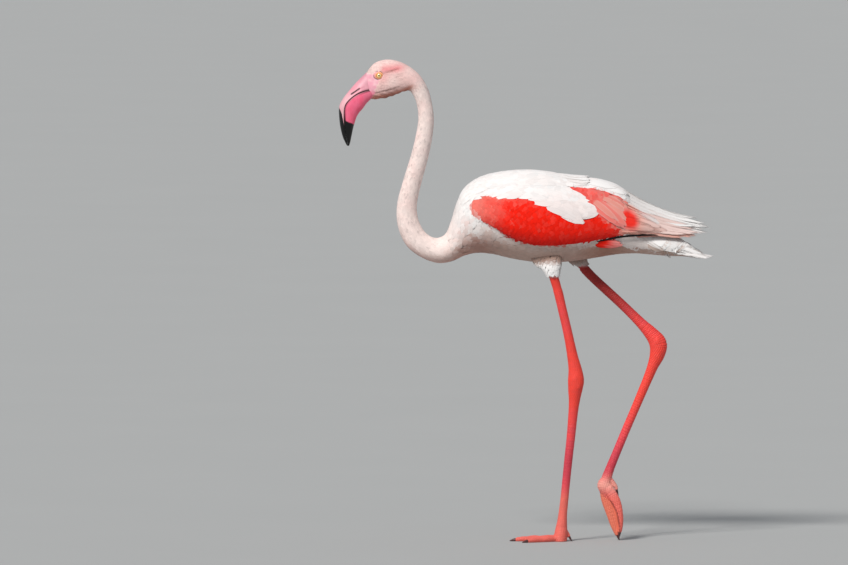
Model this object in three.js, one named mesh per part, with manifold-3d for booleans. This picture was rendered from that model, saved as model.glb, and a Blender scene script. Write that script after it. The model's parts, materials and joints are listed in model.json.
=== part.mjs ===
// A greater flamingo walking, life size, as a still model.
// The bird faces -X, its left side is -Y and +Z is up. All sizes are in millimetres.
// The origin is on the floor, under the ball of the left foot, which carries the bird.
// Head, neck and trunk are one loft, parted by thin cuts. Wings, scapulars and plumes lie over it.
import * as THREE from "three";
import { mergeVertices } from "three/addons/utils/BufferGeometryUtils.js";
import Module from "manifold-3d";

const wasm = await Module();
wasm.setup();

// ---------- Driving sizes ----------

const GAP = 0.3; // clearance between touching pieces
const LEFT = -1; // side of the body along Y
const RIGHT = 1;

const BODY_SIDES = 18; // facets round the head, neck and trunk

// Ribs of head, neck, trunk and tail: dorsal point (x, z), ventral point (x, z) and half width.
const RIBS = [
  { at: "bill base", dorsal: [-341, 821], ventral: [-333, 775], half: 13 },
  { at: "forehead", dorsal: [-328, 837], ventral: [-322, 775.5], half: 18 },
  { at: "eye", dorsal: [-310, 844], ventral: [-308, 777], half: 22 },
  { at: "crown", dorsal: [-290, 843], ventral: [-292, 782], half: 23 },
  { at: "hind crown", dorsal: [-268, 834], ventral: [-277, 788], half: 21.5 },
  { at: "nape", dorsal: [-248, 818], ventral: [-266, 790], half: 18 },
  { at: "neck 1", dorsal: [-234, 796], ventral: [-259, 782], half: 15.5 },
  { at: "neck 2", dorsal: [-226, 769], ventral: [-252.5, 766], half: 14 },
  { at: "neck 3", dorsal: [-222.5, 740], ventral: [-250, 741], half: 14 },
  { at: "neck 4", dorsal: [-225, 709], ventral: [-254.5, 711], half: 14.5 },
  { at: "neck 5", dorsal: [-233, 670], ventral: [-263.5, 675], half: 15 },
  { at: "neck 6", dorsal: [-245, 626], ventral: [-277, 631], half: 16 },
  { at: "neck 7", dorsal: [-252, 592], ventral: [-287, 592], half: 17 },
  { at: "neck 8", dorsal: [-250, 566], ventral: [-286.5, 556], half: 18 },
  { at: "neck 9", dorsal: [-240.5, 546], ventral: [-273, 522], half: 19 },
  { at: "neck 10", dorsal: [-228, 535], ventral: [-249, 500.5], half: 20.5 },
  { at: "neck base", dorsal: [-213.5, 533], ventral: [-218, 488.5], half: 23 },
  { at: "crop", dorsal: [-200, 542], ventral: [-192, 491], half: 29 },
  { at: "breast", dorsal: [-190.5, 566], ventral: [-172, 500], half: 39 },
  { at: "shoulder", dorsal: [-180.5, 597], ventral: [-155, 505], half: 50 },
  { at: "wrist", dorsal: [-163, 621], ventral: [-138, 506], half: 59 },
  { at: "mantle", dorsal: [-136.5, 637], ventral: [-116, 503.5], half: 65 },
  { at: "chest", dorsal: [-101.5, 645], ventral: [-88, 496.5], half: 68 },
  { at: "back", dorsal: [-59.5, 648], ventral: [-56, 491], half: 68 },
  { at: "loin", dorsal: [-17.5, 644], ventral: [-22, 489], half: 65 },
  { at: "hip", dorsal: [24.5, 634], ventral: [16, 491], half: 59 },
  { at: "rump", dorsal: [66.5, 622], ventral: [58, 497], half: 50 },
  { at: "rump end", dorsal: [106, 598], ventral: [98, 503.5], half: 40 },
  { at: "vent", dorsal: [137, 564], ventral: [132, 505], half: 30 },
  { at: "tail root", dorsal: [162, 541], ventral: [162, 503], half: 23 },
  { at: "tail coverts", dorsal: [190, 534], ventral: [190, 501], half: 19 },
  { at: "tail", dorsal: [222, 522], ventral: [224, 500], half: 14 },
  { at: "tail end", dorsal: [246, 505], ventral: [247, 498], half: 9 },
];
const rib = (name) => RIBS.findIndex((r) => r.at === name);

// Where the loft is parted: node name, the rib at its far end, and loft rings from one rib to the next.
const LENGTHS = [
  ["head", "nape", 1.6],
  ["neck_upper", "neck 4", 1.5],
  ["neck_middle", "neck 7", 4 / 3],
  ["neck_lower", "neck 10", 5 / 3],
  ["neck_base", "breast", 5 / 3],
  ["trunk", "vent", 2],
  ["tail_coverts", "tail end", 1],
];

// Where the coats of the wing lie on the body: place along the ribs, upper and lower angle from the
// dorsal line in degrees, and height over the body.
const WING_ROWS = [
  [19.9, 58, 76, 3],
  [20.5, 50, 94, 7],
  [21, 46, 103, 8.5],
  [22, 44, 117, 10],
  [23, 44, 125, 11],
  [24, 44, 126, 11],
  [25, 42, 123, 10.5],
  [26, 32, 118, 10],
  [27, 24, 105, 9],
  [27.9, 20, 84, 6],
];
const SCAPULAR_ROWS = [
  [20, 0, 42, 2],
  [21, 0, 55, 3.5],
  [22, 0, 61, 4],
  [23, 0, 70, 4],
  [24, 0, 77, 4],
  [24.6, 0, 81, 4],
];
const LOWER_SCAPULAR_ROWS = [
  [24.45, 57, 80, 4],
  [25, 64, 90, 4.5],
  [25.6, 70, 91, 4],
  [26.1, 75, 83, 3],
];
const UPPER_SCAPULAR_ROWS = [
  [24.45, 0, 52, 5],
  [25, 0, 43, 7],
  [26, 0, 36, 10],
  [27, 0, 28, 15],
  [27.4, 0, 12, 13],
];
const SHELL_EDGE = 2.2; // height of the wing's coat at its edge
const RIB_SPACING = 38; // least distance between the ribs under the shells
const BODY_RADIUS = 45; // least radius of the body under the edges of the shells
const MIDLINE_ANGLE = 0.5; // keeps the left and right shells apart, in degrees
const ROOT_DEPTH = 4; // how far shells and plumes start inside the body, before the body is cut out

// Long plumes over the tail on one side: root, bow, tip (x, distance from the midline, z), width and
// how far the vane leans out, from 0 upright to 1 level.
const TERTIALS = [
  { root: [88, 9, 609], bow: [160, 12, 587], tip: [259, 4.5, 551], width: 26, lean: 0.72 },
  { root: [84, 20, 598], bow: [160, 19, 574], tip: [255.5, 8, 538.5], width: 27, lean: 0.5 },
  { root: [82, 29, 585], bow: [156, 26, 562], tip: [241.5, 13, 541.5], width: 30, lean: 0.34 },
  { root: [80, 37, 571], bow: [148, 32, 551], tip: [234.5, 17, 535], width: 28, lean: 0.25 },
  { root: [80, 43, 557], bow: [140, 37, 542], tip: [210, 21, 533], width: 24, lean: 0.2 },
];
const PRIMARIES = [
  { root: [112, 26, 552], bow: [160, 22, 549], tip: [222, 8.5, 541], width: 15, lean: 0.6 },
  { root: [112, 31, 546], bow: [155, 27, 543], tip: [206, 17, 536], width: 15, lean: 0.5 },
];
const PLUME_THICK = 3.2;

// Tail feathers on one side: distance of the tip from the midline and its (x, z).
const TAIL_TIPS = [
  [3, 264, 500],
  [13, 261, 499],
  [23, 255, 498],
];
const TAIL_FEATHER = { rootX: 186, rootZ: 514, width: 17, thick: 3 };

// Legs: stations (x, y, z, fore-and-aft radius, side radius) from the hip to the toe joint.
const THIGHS = {
  left: [
    [-22, -30, 516, 20, 12],
    [-19, -35, 498, 18.5, 14],
    [-16.6, -38, 481.5, 17.5, 15],
    [-14.2, -39, 469, 12.5, 12],
    [-12.8, -38.5, 462, 9.6, 9.6],
  ],
  right: [
    [20, 28, 513, 20, 12],
    [28, 34, 498, 17.5, 14],
    [35, 37.5, 486.5, 13, 12.5],
    [41, 38, 477.5, 9.4, 9.4],
  ],
};
const SHANKS = {
  left: [
    [-13.4, -38.5, 466.5, 8.2, 7.4],
    [-5.3, -36, 438.5, 7.7, 6.8],
    [1.8, -33.5, 408.5, 7.5, 6.5],
    [8.8, -31, 379, 7.6, 6.5],
    [14.9, -28.5, 351, 8, 7],
    [20.1, -26, 324.5, 9.2, 8],
    [24.3, -24, 303.5, 11.4, 10],
    [25.9, -22, 284, 13.8, 12.5],
    [24.5, -20, 266, 12, 11],
    [22.8, -18, 245.5, 9.2, 8.2],
    [20.5, -16, 221, 7.9, 6.6],
    [17.3, -13, 185.5, 7.3, 6.1],
    [13.3, -10, 148.5, 7, 5.8],
    [9.5, -7.5, 111, 6.8, 5.7],
    [6, -5, 74.5, 6.8, 5.9],
    [3.2, -2.5, 48, 7.3, 6.8],
    [1.6, -1, 29, 8.9, 9],
  ],
  right: [
    [38.5, 38, 479.5, 8.2, 7.4],
    [55, 37.5, 462, 7.8, 6.8],
    [77, 37, 441.5, 7.8, 6.6],
    [100, 36, 420.5, 7.8, 6.6],
    [122.5, 35, 399, 8, 6.8],
    [142, 34, 379.5, 9, 8],
    [159, 33, 362, 12, 10],
    [170.5, 32, 345, 15.2, 12.5],
    [169, 31.5, 326, 13, 11],
    [161.5, 31, 306.5, 9.4, 8.2],
    [153.5, 30.5, 286.5, 8.1, 6.8],
    [143, 30, 261.5, 7.5, 6.2],
    [129, 29.5, 228.5, 7.1, 5.9],
    [114, 29, 193.5, 7, 5.8],
    [99.5, 28.5, 158.5, 7, 5.9],
    [87, 28, 128, 7.4, 6.8],
    [80.5, 28, 110, 8.6, 8.6],
  ],
};
const ANKLE_SPAN = [5.5, 9]; // stations between which the ankle joint lies

// Each toe is a row of stations as on the legs. The left foot is flat, the right one hangs folded.
const FLAT_TOE = { spread: { inner: 30, middle: 1, outer: -29 }, length: { inner: 68, middle: 80, outer: 68 } };
const FLAT_TOE_RADII = [6.8, 5.6, 5.4, 4.4, 4.6, 3.4]; // waists and knuckles from ball to tip
const HUNG_TOES = {
  inner: [
    [86, 23, 92, 7, 6],
    [101, 18, 70, 4.8, 4.6],
    [108.5, 16, 47, 4.6, 4.3],
    [111, 16.5, 28, 4, 3.9],
    [109.5, 18, 14, 3.2, 3.2],
  ],
  middle: [
    [76, 28, 94, 8, 7],
    [76.5, 28, 73, 5.8, 5.4],
    [84.5, 27.5, 50, 5.2, 4.8],
    [91.5, 27, 28, 4.7, 4.4],
    [96.5, 26.5, 16, 4.1, 4],
    [99.5, 26.5, 9, 3.4, 3.4],
  ],
  outer: [
    [82, 33, 92, 7, 6],
    [92, 37, 68, 4.8, 4.6],
    [100, 38, 44, 4.5, 4.3],
    [104, 37, 26, 4, 3.9],
    [105, 35.5, 13, 3.2, 3.2],
  ],
};
const HIND_TOES = {
  left: [[3, 1, 24, 4.5, 4.5], [10.5, 1.5, 14.5, 3.3, 3.3], [14.5, 2, 8, 2.6, 2.6]],
  right: [[87, 27.5, 106, 4.5, 4.5], [95.5, 27, 96, 3.3, 3.3], [98, 26.5, 88, 2.6, 2.6]],
};
const BALLS = {
  left: [[1.2, 0, 26.5, 9.4, 9.6], [0, 0, 14, 11, 12.5], [-1, 0, 5, 11.5, 13.5], [-1, 0, -1, 11, 13]],
  right: [[79.5, 28, 107, 9, 9.2], [77.5, 28, 98, 13.2, 11], [79.5, 28, 89, 12, 10.5], [83, 28, 81, 8, 8]],
};
const WEB = { start: 0.12, reach: 0.9, notch: 0.3, halfThick: 0.8, height: 0.9 };
const CLAW_LENGTH = 10;

// Ribs of the bill: culmen (x, z), cutting edge (x, z), keel (x, z) and half width.
const BILL_RIBS = [
  { culmen: [-341.5, 821], edge: [-327, 794], keel: [-333, 775], half: 12.5 },
  { culmen: [-357, 806], edge: [-344, 789.5], keel: [-341, 767], half: 13.5 },
  { culmen: [-370, 791], edge: [-358, 783.5], keel: [-347, 758.5], half: 14.5 },
  { culmen: [-381, 777], edge: [-370, 774.5], keel: [-353, 752], half: 15 },
  { culmen: [-388, 763], edge: [-377.5, 764], keel: [-357.5, 744.5], half: 14.5 },
  { culmen: [-388.5, 747], edge: [-379.5, 748], keel: [-360.5, 736], half: 12.5 },
  { culmen: [-386.5, 728], edge: [-378.5, 728], keel: [-363.5, 725.5], half: 10 },
  { culmen: [-382.5, 710.5], edge: [-376, 710.5], keel: [-366.5, 711], half: 7 },
  { culmen: [-377.5, 699], edge: [-374, 699], keel: [-369, 699.5], half: 4 },
  { culmen: [-374.5, 693.5], edge: [-373, 693.5], keel: [-371, 693.5], half: 1.6 },
];
const UPPER_BLACK_FROM = 5; // bill rib where the black tip begins
const LOWER_BLACK_FROM = 5.6;
const BILL_SIDES = 8; // facets round half a bill section

const EYE = { x: -318.5, z: 817, radius: 6.2, out: 15.6 };

// ---------- Shapes ----------

// Smooth value at place t along equal-length rows of numbers (Catmull-Rom).
function along(rows, t) {
  const last = rows.length - 1;
  const i = Math.min(Math.floor(t), last - 1);
  const f = t - i;
  const [a, b, c, d] = [i - 1, i, i + 1, i + 2].map((k) => rows[Math.max(0, Math.min(last, k))]);
  return b.map((p1, k) => {
    const slope = (c[k] - a[k]) / 2;
    const nextSlope = (d[k] - p1) / 2;
    const rise = c[k] - p1;
    return p1 + f * (slope + f * (3 * rise - 2 * slope - nextSlope + f * (slope + nextSlope - 2 * rise)));
  });
}

// Closed geometry through rings of equal count, with fans over both ends.
function loft(rings) {
  const sides = rings[0].length;
  const points = rings.flat();
  const faces = [];
  for (let r = 0; r + 1 < rings.length; r++) {
    for (let s = 0; s < sides; s++) {
      const a = r * sides + s;
      const b = r * sides + ((s + 1) % sides);
      faces.push(a, b, a + sides, b, b + sides, a + sides);
    }
  }
  for (const [start, flip] of [[0, true], [(rings.length - 1) * sides, false]]) {
    const ring = points.slice(start, start + sides);
    const middle = ring.reduce((sum, p) => sum.add(p), new THREE.Vector3()).divideScalar(sides);
    const hub = points.push(middle) - 1;
    for (let s = 0; s < sides; s++) {
      const a = start + s;
      const b = start + ((s + 1) % sides);
      faces.push(...(flip ? [hub, b, a] : [hub, a, b]));
    }
  }
  return new THREE.BufferGeometry().setFromPoints(points).setIndex(faces);
}

// A closed sheet of given half thickness over a grid of points, offset along its own normals.
function sheet(grid, halfThickness) {
  const rows = grid.length;
  const columns = grid[0].length;
  const normalAt = (i, j) => {
    const alongRow = grid[i][Math.min(j + 1, columns - 1)].clone().sub(grid[i][Math.max(j - 1, 0)]);
    const acrossRow = grid[Math.min(i + 1, rows - 1)][j].clone().sub(grid[Math.max(i - 1, 0)][j]);
    return alongRow.cross(acrossRow).normalize();
  };
  return slab(grid, (i, j) => [
    grid[i][j].clone().addScaledVector(normalAt(i, j), halfThickness),
    grid[i][j].clone().addScaledVector(normalAt(i, j), -halfThickness),
  ]);
}

// A closed slab over a grid, where faceAt(i, j) gives its outer and inner point.
function slab(grid, faceAt) {
  const rows = grid.length;
  const columns = grid[0].length;
  const points = [];
  const faces = [];
  const pairs = grid.map((row, i) => row.map((_, j) => faceAt(i, j)));
  for (const layer of [0, 1]) pairs.forEach((row) => row.forEach((pair) => points.push(pair[layer])));
  const at = (layer, i, j) => (layer * rows + i) * columns + j;
  const quad = (a, b, c, d) => faces.push(a, b, c, a, c, d);
  for (let i = 0; i + 1 < rows; i++) {
    for (let j = 0; j + 1 < columns; j++) {
      quad(at(0, i, j), at(0, i + 1, j), at(0, i + 1, j + 1), at(0, i, j + 1));
      quad(at(1, i, j), at(1, i, j + 1), at(1, i + 1, j + 1), at(1, i + 1, j));
    }
    quad(at(0, i, 0), at(1, i, 0), at(1, i + 1, 0), at(0, i + 1, 0));
    const end = columns - 1;
    quad(at(0, i, end), at(0, i + 1, end), at(1, i + 1, end), at(1, i, end));
  }
  for (let j = 0; j + 1 < columns; j++) {
    quad(at(0, 0, j), at(0, 0, j + 1), at(1, 0, j + 1), at(1, 0, j));
    const end = rows - 1;
    quad(at(0, end, j), at(1, end, j), at(1, end, j + 1), at(0, end, j + 1));
  }
  return new THREE.BufferGeometry().setFromPoints(points).setIndex(faces);
}

// A closed geometry as a solid, turned right side out.
function solid(geometry) {
  const bare = new THREE.BufferGeometry();
  bare.setAttribute("position", geometry.getAttribute("position"));
  bare.setIndex(geometry.index);
  const merged = mergeVertices(bare, 1e-3);
  const triVerts = new Uint32Array(merged.index.array);
  const vertProperties = merged.attributes.position.array;
  const made = new wasm.Manifold(new wasm.Mesh({ numProp: 3, vertProperties, triVerts }));
  if (made.volume() > 0) return made;
  for (let i = 0; i < triVerts.length; i += 3) {
    [triVerts[i + 1], triVerts[i + 2]] = [triVerts[i + 2], triVerts[i + 1]];
  }
  return new wasm.Manifold(new wasm.Mesh({ numProp: 3, vertProperties, triVerts }));
}

const joined = (solids) => solids.reduce((all, next) => all.add(next));
const cut = (body, ...tools) => tools.reduce((left, tool) => left.subtract(tool), body);

// The largest body of a solid, without the crumbs that a cut can leave.
const mainBody = (body) => body.decompose().sort((a, b) => b.volume() - a.volume())[0];

function meshOf(name, body, material) {
  const made = mainBody(body).getMesh();
  const geometry = new THREE.BufferGeometry();
  geometry.setAttribute("position", new THREE.BufferAttribute(made.vertProperties, 3));
  geometry.setIndex(new THREE.BufferAttribute(made.triVerts, 1));
  const mesh = new THREE.Mesh(geometry, material);
  mesh.name = name;
  return mesh;
}

// ---------- Body loft ----------

const RIB_ROWS = RIBS.map((r) => [...r.dorsal, ...r.ventral, r.half]);

// Point on the body at place t along the ribs and angle from the dorsal line, raised by a distance.
function skinPoint(t, angle, side = RIGHT, raised = 0) {
  const [dx, dz, vx, vz, half] = along(RIB_ROWS, t);
  const middle = new THREE.Vector3((dx + vx) / 2, 0, (dz + vz) / 2);
  const up = new THREE.Vector3((dx - vx) / 2, 0, (dz - vz) / 2);
  const depth = up.length();
  const narrow = 1 - 0.07 * Math.cos(angle); // the section is an egg, a little wider below its middle
  return middle
    .addScaledVector(up, (Math.cos(angle) * (depth + raised)) / depth)
    .add(new THREE.Vector3(0, side * Math.sin(angle) * narrow * (half + raised), 0));
}

function bodyRing(t, raised) {
  const step = (2 * Math.PI) / BODY_SIDES;
  return Array.from({ length: BODY_SIDES }, (_, s) => skinPoint(t, s * step, RIGHT, raised));
}

function bodyLength(from, to, ringsPerRib, raised = 0) {
  const steps = Math.max(2, Math.round((to - from) * ringsPerRib));
  const places = Array.from({ length: steps + 1 }, (_, i) => from + ((to - from) * i) / steps);
  return solid(loft(places.map((t) => bodyRing(t, raised))));
}

// ---------- Limbs, toes and plumes ----------

// A tube through stations [x, y, z, fore-and-aft radius, side radius], from place "from" to "to".
function limb(stations, { from = 0, to = stations.length - 1, sides = 8, steps = 1 } = {}) {
  const count = Math.max(1, Math.round((to - from) * steps));
  const rings = [];
  for (let i = 0; i <= count; i++) {
    const t = from + ((to - from) * i) / count;
    const [x, y, z, fore, aside] = along(stations, t);
    const ahead = along(stations, Math.min(t + 0.05, stations.length - 1));
    const behind = along(stations, Math.max(t - 0.05, 0));
    const run = new THREE.Vector3(ahead[0] - behind[0], ahead[1] - behind[1], ahead[2] - behind[2]).normalize();
    const foreAxis = new THREE.Vector3(0, 1, 0).cross(run).normalize();
    const sideAxis = run.clone().cross(foreAxis);
    rings.push(
      Array.from({ length: sides }, (_, s) => {
        const angle = (s / sides) * 2 * Math.PI;
        return new THREE.Vector3(x, y, z)
          .addScaledVector(foreAxis, Math.cos(angle) * fore)
          .addScaledVector(sideAxis, Math.sin(angle) * aside);
      }),
    );
  }
  return solid(loft(rings));
}

// A long feather as a thin solid of diamond section. It runs root, bow, tip and lies across the "flat" direction.
function plume({ root, bow, tip, width, thick, flat, taper = 0.55 }) {
  const steps = 4;
  const line = new THREE.QuadraticBezierCurve3(
    new THREE.Vector3(...root), new THREE.Vector3(...bow), new THREE.Vector3(...tip),
  );
  const across = new THREE.Vector3(...flat).normalize();
  const rings = [];
  for (let i = 0; i <= steps; i++) {
    const t = i / steps;
    const run = line.getTangent(t);
    const wide = across.clone().addScaledVector(run, -across.dot(run)).normalize();
    const up = run.clone().cross(wide);
    const end = Math.sqrt(Math.max(0, 1 - Math.max(0, (t - taper) / (1 - taper)) ** 2));
    const half = (width / 2) * Math.max(0.07, end);
    const rise = (thick / 2) * (1 - 0.5 * t);
    const centre = line.getPoint(t);
    rings.push(
      [[1, 0], [0, 1], [-1, 0], [0, -1]].map(([a, b]) =>
        centre.clone().addScaledVector(wide, a * half).addScaledVector(up, b * rise),
      ),
    );
  }
  return solid(loft(rings));
}

// ---------- Materials ----------

const finish = (color, roughness, metalness = 0) => new THREE.MeshStandardMaterial({ color, roughness, metalness });
const MATERIALS = {
  plumage: finish(0xf4ece8, 0.85),
  facePink: finish(0xf3cfc8, 0.8),
  coverts: finish(0xf0402c, 0.8),
  plumes: finish(0xf3ddd8, 0.85),
  flight: finish(0x1a1718, 0.7),
  billPink: finish(0xee8aa0, 0.45),
  billRose: finish(0xec5f7e, 0.45),
  black: finish(0x121314, 0.4),
  eye: finish(0xefc56a, 0.15),
  leg: finish(0xe9505a, 0.55),
  claw: finish(0x5a3636, 0.5),
};

const bird = new THREE.Group();
const add = (name, body, material) => bird.add(meshOf(name, body, material));

// ---------- Head, neck, trunk and tail ----------

// Half of the cut between two lengths, as a share of a rib's spacing on each side.
function halfCut(t) {
  const near = skinPoint(t - 0.01, Math.PI / 2);
  const far = skinPoint(t + 0.01, Math.PI / 2);
  const narrowest = Math.min(near.distanceTo(far), ...[0, Math.PI].map((a) =>
    skinPoint(t - 0.01, a).distanceTo(skinPoint(t + 0.01, a))));
  return (0.02 * GAP * 0.6) / narrowest;
}

const eyeBall = (side, extra = 0) => {
  const ball = new THREE.SphereGeometry(EYE.radius + extra, 9, 6);
  ball.deleteAttribute("normal");
  ball.deleteAttribute("uv");
  ball.translate(EYE.x, side * EYE.out, EYE.z);
  return solid(ball);
};

const lengths = {};
let startsAt = 0;
for (const [name, endRib, ringsPerRib] of LENGTHS) {
  const end = rib(endRib);
  const first = startsAt === 0 ? 0 : startsAt + halfCut(startsAt);
  const last = end === RIBS.length - 1 ? end : end - halfCut(end);
  lengths[name] = bodyLength(first, last, ringsPerRib);
  startsAt = end;
}
lengths.head = cut(lengths.head, eyeBall(LEFT, GAP), eyeBall(RIGHT, GAP));

const bodyClear = bodyLength(rib("neck base"), rib("tail end"), 2, GAP);

// ---------- Bill ----------

const BILL_ROWS = BILL_RIBS.map((r) => [...r.culmen, ...r.edge, ...r.keel, r.half]);

// Half sections of the bill: the upper one arches from the cutting edge to the culmen, the lower to the keel.
function billHalf(upper, from, to, steps) {
  const rings = [];
  for (let i = 0; i <= steps; i++) {
    const [cx, cz, ex, ez, kx, kz, half] = along(BILL_ROWS, from + ((to - from) * i) / steps);
    const edge = new THREE.Vector3(ex, 0, ez);
    const crest = upper ? new THREE.Vector3(cx, 0, cz) : new THREE.Vector3(kx, 0, kz);
    const arch = crest.sub(edge);
    const lift = GAP / 2 / arch.length();
    rings.push(
      Array.from({ length: BILL_SIDES + 1 }, (_, s) => {
        const angle = (s / BILL_SIDES) * Math.PI;
        const rise = lift + (1 - lift) * Math.sin(angle) ** (upper ? 1.15 : 0.8);
        return edge.clone().addScaledVector(arch, rise).add(new THREE.Vector3(0, Math.cos(angle) * half, 0));
      }),
    );
  }
  return solid(loft(rings));
}

const BILL_END = BILL_RIBS.length - 1;
const BILL_CUT = 0.01;
const headClear = bodyLength(-0.06, rib("eye"), 2, GAP); // starts a gap's width ahead of the head
const BILL_LENGTHS = [
  ["bill_upper", true, 0, UPPER_BLACK_FROM - BILL_CUT, 7, MATERIALS.billPink],
  ["bill_upper_tip", true, UPPER_BLACK_FROM + BILL_CUT, BILL_END, 5, MATERIALS.black],
  ["bill_lower", false, 0, LOWER_BLACK_FROM - BILL_CUT, 8, MATERIALS.billRose],
  ["bill_lower_tip", false, LOWER_BLACK_FROM + BILL_CUT, BILL_END, 5, MATERIALS.black],
];
for (const [name, upper, from, to, steps, material] of BILL_LENGTHS) {
  add(name, cut(billHalf(upper, from, to, steps), headClear), material);
}

for (const [name, body] of Object.entries(lengths)) {
  if (name !== "tail_coverts") add(name, body, name === "head" ? MATERIALS.facePink : MATERIALS.plumage);
}
add("eye_left", eyeBall(LEFT), MATERIALS.eye);
add("eye_right", eyeBall(RIGHT), MATERIALS.eye);

// ---------- Wings ----------

const radians = (degrees) => (degrees * Math.PI) / 180;

// The row of a shell table at place t along the ribs.
function rowAt(rows, t) {
  const next = rows.findIndex((row) => row[0] >= t);
  const i = Math.max(1, next === -1 ? rows.length - 1 : next);
  const share = (t - rows[i - 1][0]) / (rows[i][0] - rows[i - 1][0]);
  return along(rows, i - 1 + share);
}

// Swell of a wing's coat at a share of the way from its upper to its lower edge.
function swell(height, across) {
  const share = Math.max(0, Math.min(1, across));
  return SHELL_EDGE + (height - SHELL_EDGE) * Math.sin(Math.PI * share) ** 0.6;
}

// Height of a wing's covert coat over the body, zero outside its outline.
function wingHeight(t, angle) {
  if (t < WING_ROWS[0][0] || t > WING_ROWS.at(-1)[0]) return 0;
  const [, upper, lower, height] = rowAt(WING_ROWS, t);
  const across = (angle - radians(upper)) / radians(lower - upper);
  return across < 0 || across > 1 ? 0 : swell(height, across);
}

// A shell of one side lying on the body, between the angles of its rows, grown on every side by "extra".
function shell(rows, side, heightAt, rowSteps, angleSteps, extra) {
  const from = rows[0][0] - extra / RIB_SPACING;
  const to = rows.at(-1)[0] + extra / RIB_SPACING;
  const grid = Array.from({ length: rowSteps + 1 }, (_, i) => {
    const t = from + ((to - from) * i) / rowSteps;
    const [, upper, lower, height] = rowAt(rows, t);
    const first = Math.max(radians(MIDLINE_ANGLE), radians(upper) - extra / BODY_RADIUS);
    const last = radians(lower) + extra / BODY_RADIUS;
    return Array.from({ length: angleSteps + 1 }, (_, j) => {
      const angle = first + ((last - first) * j) / angleSteps;
      return { t, angle, height: heightAt(t, angle, height, j / angleSteps) + extra };
    });
  });
  return solid(slab(grid, (i, j) => {
    const { t, angle, height } = grid[i][j];
    return [skinPoint(t, angle, side, height), skinPoint(t, angle, side, -ROOT_DEPTH - extra)];
  }));
}

const onSide = ([x, y, z], side) => [x, side * y, z];
const plumesOf = (rows, side, extra) => joined(rows.map((row) => plume({
  root: onSide(row.root, side),
  bow: onSide(row.bow, side),
  tip: onSide(row.tip, side),
  width: row.width + 2 * extra,
  thick: PLUME_THICK + 2 * extra,
  flat: [0, side * row.lean, -1],
})));

for (const [word, side] of [["left", LEFT], ["right", RIGHT]]) {
  const coat = (t, angle, height, across) => swell(height, across);
  const overCoat = (t, angle, height) => wingHeight(t, angle) + height;
  const wing = (extra) => shell(WING_ROWS, side, coat, 8, 5, extra);
  const scapulars = (extra) => joined([
    shell(SCAPULAR_ROWS, side, overCoat, 5, 4, extra),
    shell(LOWER_SCAPULAR_ROWS, side, overCoat, 3, 2, extra),
    shell(UPPER_SCAPULAR_ROWS, side, overCoat, 4, 3, extra),
  ]);
  const tertials = (extra) => plumesOf(TERTIALS, side, extra);
  const covered = [bodyClear, wing(GAP), scapulars(GAP)];
  add(`wing_${word}`, cut(wing(0), bodyClear, scapulars(GAP)), MATERIALS.coverts);
  add(`scapulars_${word}`, cut(scapulars(0), bodyClear), MATERIALS.plumage);
  add(`tertials_${word}`, cut(tertials(0), ...covered), MATERIALS.plumes);
  add(`primaries_${word}`, cut(plumesOf(PRIMARIES, side, 0), ...covered, tertials(GAP)), MATERIALS.flight);
}

// ---------- Tail ----------

const rectrices = [LEFT, RIGHT].flatMap((side) =>
  TAIL_TIPS.map(([aside, x, z]) => plume({
    root: [TAIL_FEATHER.rootX, side * aside * 0.4, TAIL_FEATHER.rootZ],
    bow: [(TAIL_FEATHER.rootX + x) / 2, side * aside * 0.8, (TAIL_FEATHER.rootZ + z) / 2 + 1],
    tip: [x, side * aside, z],
    width: TAIL_FEATHER.width,
    thick: TAIL_FEATHER.thick,
    flat: [0, 1, side * 0.15],
    taper: 0.7,
  })),
);
add("tail", joined([lengths.tail_coverts, ...rectrices]), MATERIALS.plumage);

// ---------- Legs and feet ----------

const FLOOR_BLOCK = new THREE.BoxGeometry(600, 300, 60).translate(0, 0, -30);
FLOOR_BLOCK.deleteAttribute("normal");
FLOOR_BLOCK.deleteAttribute("uv");
const belowFloor = solid(FLOOR_BLOCK);

// Stations of a toe lying flat on the floor, from the ball outwards.
function flatToe(name) {
  const turn = radians(FLAT_TOE.spread[name]);
  return FLAT_TOE_RADII.map((radius, i) => {
    const reach = (FLAT_TOE.length[name] * i) / (FLAT_TOE_RADII.length - 1);
    return [-reach * Math.cos(turn), reach * Math.sin(turn), radius - 0.7, radius, radius * 0.95];
  });
}

// The web between two toes: a ruled sheet with a hollow front edge.
function web(toeA, toeB, lift) {
  const steps = 3;
  const at = (toe, share) => along(toe, share * (toe.length - 1));
  const grid = Array.from({ length: steps + 1 }, (_, i) =>
    Array.from({ length: steps + 1 }, (_, j) => {
      const across = j / steps;
      const edge = WEB.reach - WEB.notch * Math.sin(across * Math.PI);
      const out = WEB.start + (i / steps) * (edge - WEB.start);
      const a = at(toeA, out);
      const b = at(toeB, out);
      const point = new THREE.Vector3(...[0, 1, 2].map((k) => a[k] + (b[k] - a[k]) * across));
      if (lift !== null) point.z = lift;
      return point;
    }));
  return solid(sheet(grid, WEB.halfThick));
}

// A claw that carries on from the end of a toe.
function claw(toe) {
  const [x, y, z, radius] = toe.at(-1);
  const before = toe.at(-2);
  const run = new THREE.Vector3(x - before[0], y - before[1], z - before[2]).normalize();
  const stations = [[GAP * 1.5, 0.8], [CLAW_LENGTH * 0.45, 0.62], [CLAW_LENGTH, 0.22]].map(([reach, share], i) => {
    const p = new THREE.Vector3(x, y, z).addScaledVector(run, reach);
    return [p.x, p.y, p.z - (run.z > -0.5 ? 0.25 * i * i : 0), radius * share, radius * share];
  });
  return limb(stations, { sides: 5 });
}

const TOES = {
  left: { inner: flatToe("inner"), middle: flatToe("middle"), outer: flatToe("outer") },
  right: HUNG_TOES,
};

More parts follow.
